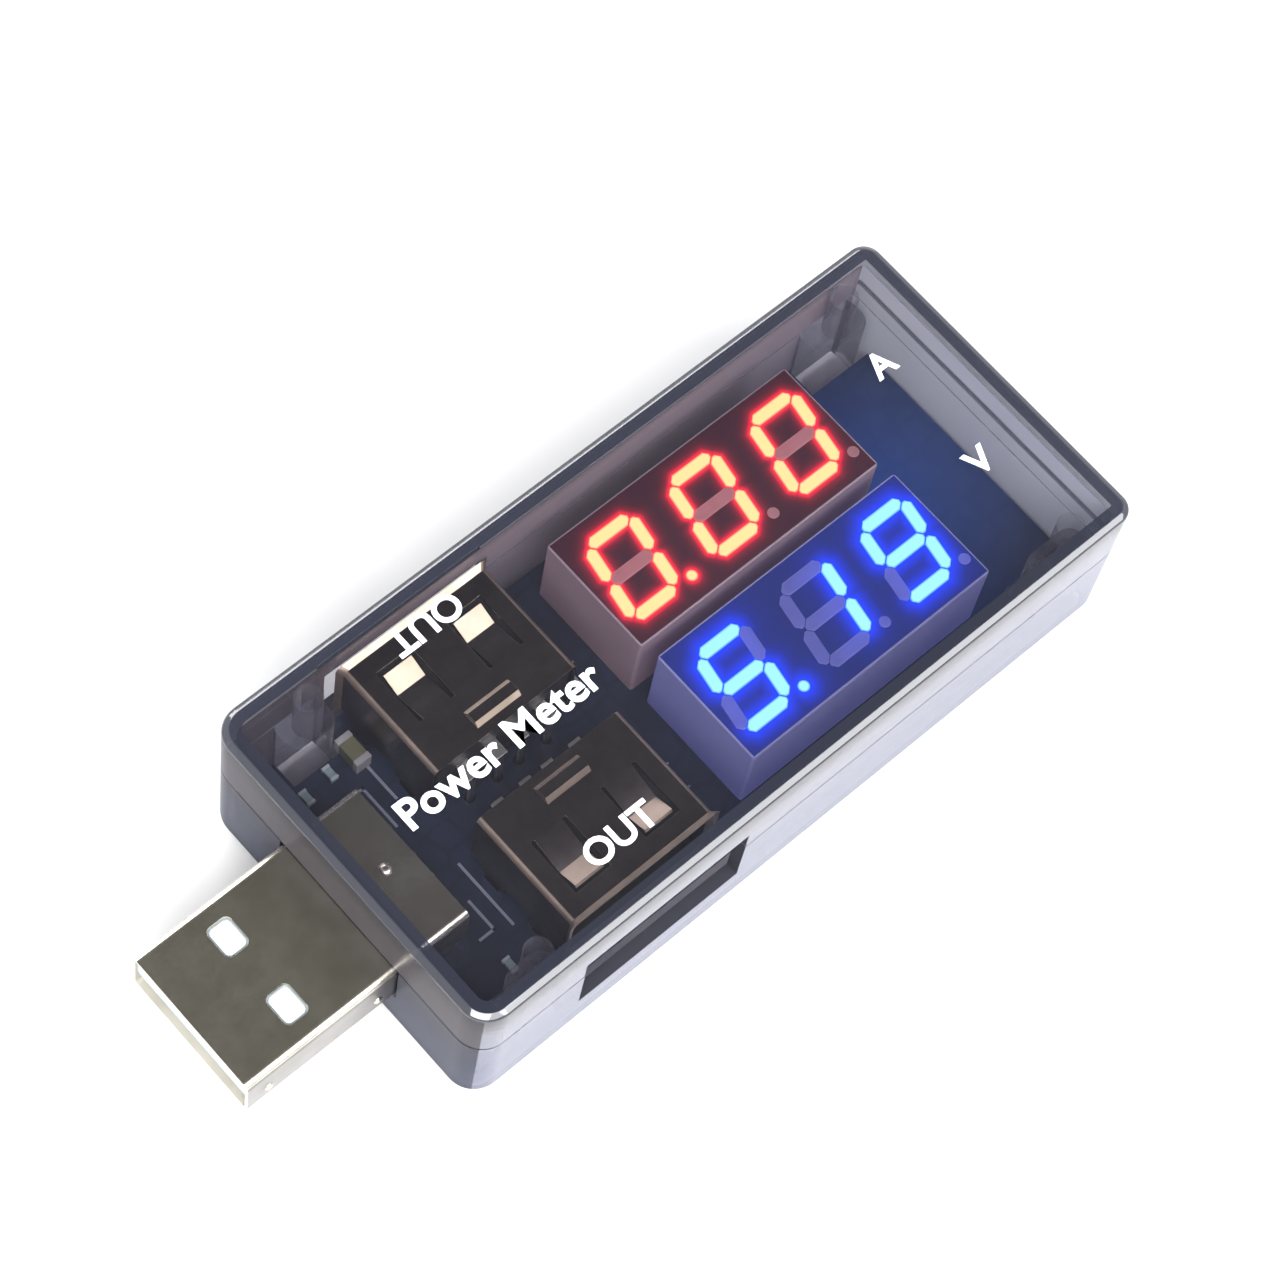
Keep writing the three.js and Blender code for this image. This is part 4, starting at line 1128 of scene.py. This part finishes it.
def build_board():
    refine("circuit_board", MAT["board"], 0.05)
    for node in ("microcontroller", "current_amplifier", "voltage_regulator"):
        refine(node, MAT["black"], 0.04)
    for node in ("input_capacitor", "output_capacitor", "supply_capacitor", "filter_capacitor"):
        refine(node, MAT["ceramic"], 0.15, 3)
    refine("current_shunt", MAT["resistor"], 0.06)
    for index in range(1, 6):
        refine(f"top_chip_{index}", MAT["pale_chip"], 0.04)
    for index in range(1, 7):
        refine(f"segment_resistor_{index}", MAT["resistor"], 0.04)

    line_z = (BOARD_TOP - 0.01, BOARD_TOP + 0.03)
    lines = [
        block("line", (CASE_X[0] + x0, CASE_X[0] + x1), (y0, y1), line_z)
        for x0, x1, y0, y1 in silk_bars()
    ]
    new_piece("board_marking", joined("board_marking", lines), MAT["silk"])

    joints = []
    for index in range(1, 5):
        low, high = span(f"plug_contact_{index}")
        joints.append(solder_joint(high.x + 0.25, (low.y + high.y) / 2, PLUG_SOLDER_HEIGHT))
        for side in ("far", "near"):
            low, high = span(f"{side}_contact_tail_{index}")
            middle = (low + high) / 2
            joints.append(solder_joint(middle.x, middle.y, TAIL_SOLDER_HEIGHT))
    new_piece("solder_joints", joined("solder_joints", joints), MAT["solder"])


def solder_joint(x, y, height):
    return dome("joint", x, y, SOLDER_RADIUS, BOARD_TOP - SUNK, height)


# ---------------- stage, light and camera

STAGE_REACH = 900
STAGE_DROP = 0.02
DARK_WAY = Vector((0.35, 0.25, 0.9)).normalized()
DARK_EDGE, DARK_CORE = 0.76, 0.91  # closeness to that way at which the gap begins and is full
CAMERA_AIM = Vector((5.53, 2.6, 7.5))
CAMERA_DISTANCE = 269.1
CAMERA_AZIMUTH, CAMERA_ELEVATION, CAMERA_ROLL = -54.3, 64.2, 13.8
CAMERA_LENS = 108.4


def build_stage():
    bm = bmesh.new()
    corners = [(-1, -1), (1, -1), (1, 1), (-1, 1)]
    bm.faces.new([
        bm.verts.new((x * STAGE_REACH, y * STAGE_REACH, CASE_Z[0] - STAGE_DROP)) for x, y in corners
    ])
    mesh = to_mesh("floor", bm)
    shader = Shader("floor_paper")
    surface = shader.principled({"Roughness": 0.9})
    shader.mottle(surface, 40, 3, tones(grey(0.70), grey(0.73)))
    mesh.materials.append(shader.finish(surface))
    add_object("floor", mesh)


def build_world():
    """White all round, but for a dark gap overhead that the flat tops mirror to the camera."""
    world = bpy.data.worlds.new("studio")
    bpy.context.scene.world = world
    world.use_nodes = True
    tree = world.node_tree
    tree.nodes.clear()
    coordinates = tree.nodes.new("ShaderNodeTexCoord")
    closeness = tree.nodes.new("ShaderNodeVectorMath")
    closeness.operation = "DOT_PRODUCT"
    closeness.inputs[1].default_value = DARK_WAY
    ramp = tree.nodes.new("ShaderNodeValToRGB")
    background = tree.nodes.new("ShaderNodeBackground")
    output = tree.nodes.new("ShaderNodeOutputWorld")
    tree.links.new(coordinates.outputs["Generated"], closeness.inputs[0])
    tree.links.new(closeness.outputs["Value"], ramp.inputs["Fac"])
    tree.links.new(ramp.outputs["Color"], background.inputs["Color"])
    tree.links.new(background.outputs[0], output.inputs["Surface"])
    elements = ramp.color_ramp.elements
    elements[0].position, elements[0].color = DARK_EDGE, (1.0, 1.0, 1.02, 1)
    elements[1].position, elements[1].color = DARK_CORE, (0.13, 0.128, 0.12, 1)
    background.inputs["Strength"].default_value = 1.05


def soft_light(name, direction, distance, size, power):
    """A rectangular light, a distance away from the origin in a direction, that faces it."""
    light = bpy.data.lights.new(name, "AREA")
    light.shape = "RECTANGLE"
    light.size, light.size_y = size[0] * MM, size[1] * MM
    light.energy = power
    lamp = add_object(name, light)
    way = Vector(direction).normalized()
    lamp.location = way * distance * MM
    lamp.rotation_euler = way.to_track_quat("Z", "Y").to_euler()


def build_lights():
    soft_light("edge", (0.35, -0.65, 0.67), 420, (300, 190), 1.1)
    soft_light("over_plug_end", (-0.55, -0.35, 0.76), 440, (300, 260), 2.6)
    soft_light("over_near_side", (-0.1, -0.6, 0.8), 440, (300, 260), 1.2)
    soft_light("low_far_side", (0.3, 0.85, 0.42), 440, (320, 200), 1.4)


def build_camera():
    """The camera stands where the photograph's did, with the same lean."""
    azimuth, elevation = math.radians(CAMERA_AZIMUTH), math.radians(CAMERA_ELEVATION)
    back = Vector((
        math.sin(azimuth) * math.cos(elevation),
        -math.cos(azimuth) * math.cos(elevation),
        math.sin(elevation),
    ))
    data = bpy.data.cameras.new("camera")
    data.sensor_width = 36
    data.lens = CAMERA_LENS
    data.clip_start = 0.01
    camera = add_object("camera", data)
    camera.location = (CAMERA_AIM + back * CAMERA_DISTANCE) * MM
    level = (-back).to_track_quat("-Z", "Y").to_matrix().to_4x4()
    roll = Matrix.Rotation(math.radians(CAMERA_ROLL), 4, "Z")
    camera.rotation_euler = (level @ roll).to_euler()
    bpy.context.scene.camera = camera


# ---------------- the whole scene

build_camera()
build_world()
build_lights()
build_stage()
build_case()
build_print()
build_plug()
build_sockets()
build_displays()
build_board()
bpy.context.scene.view_settings.view_transform = "Standard"
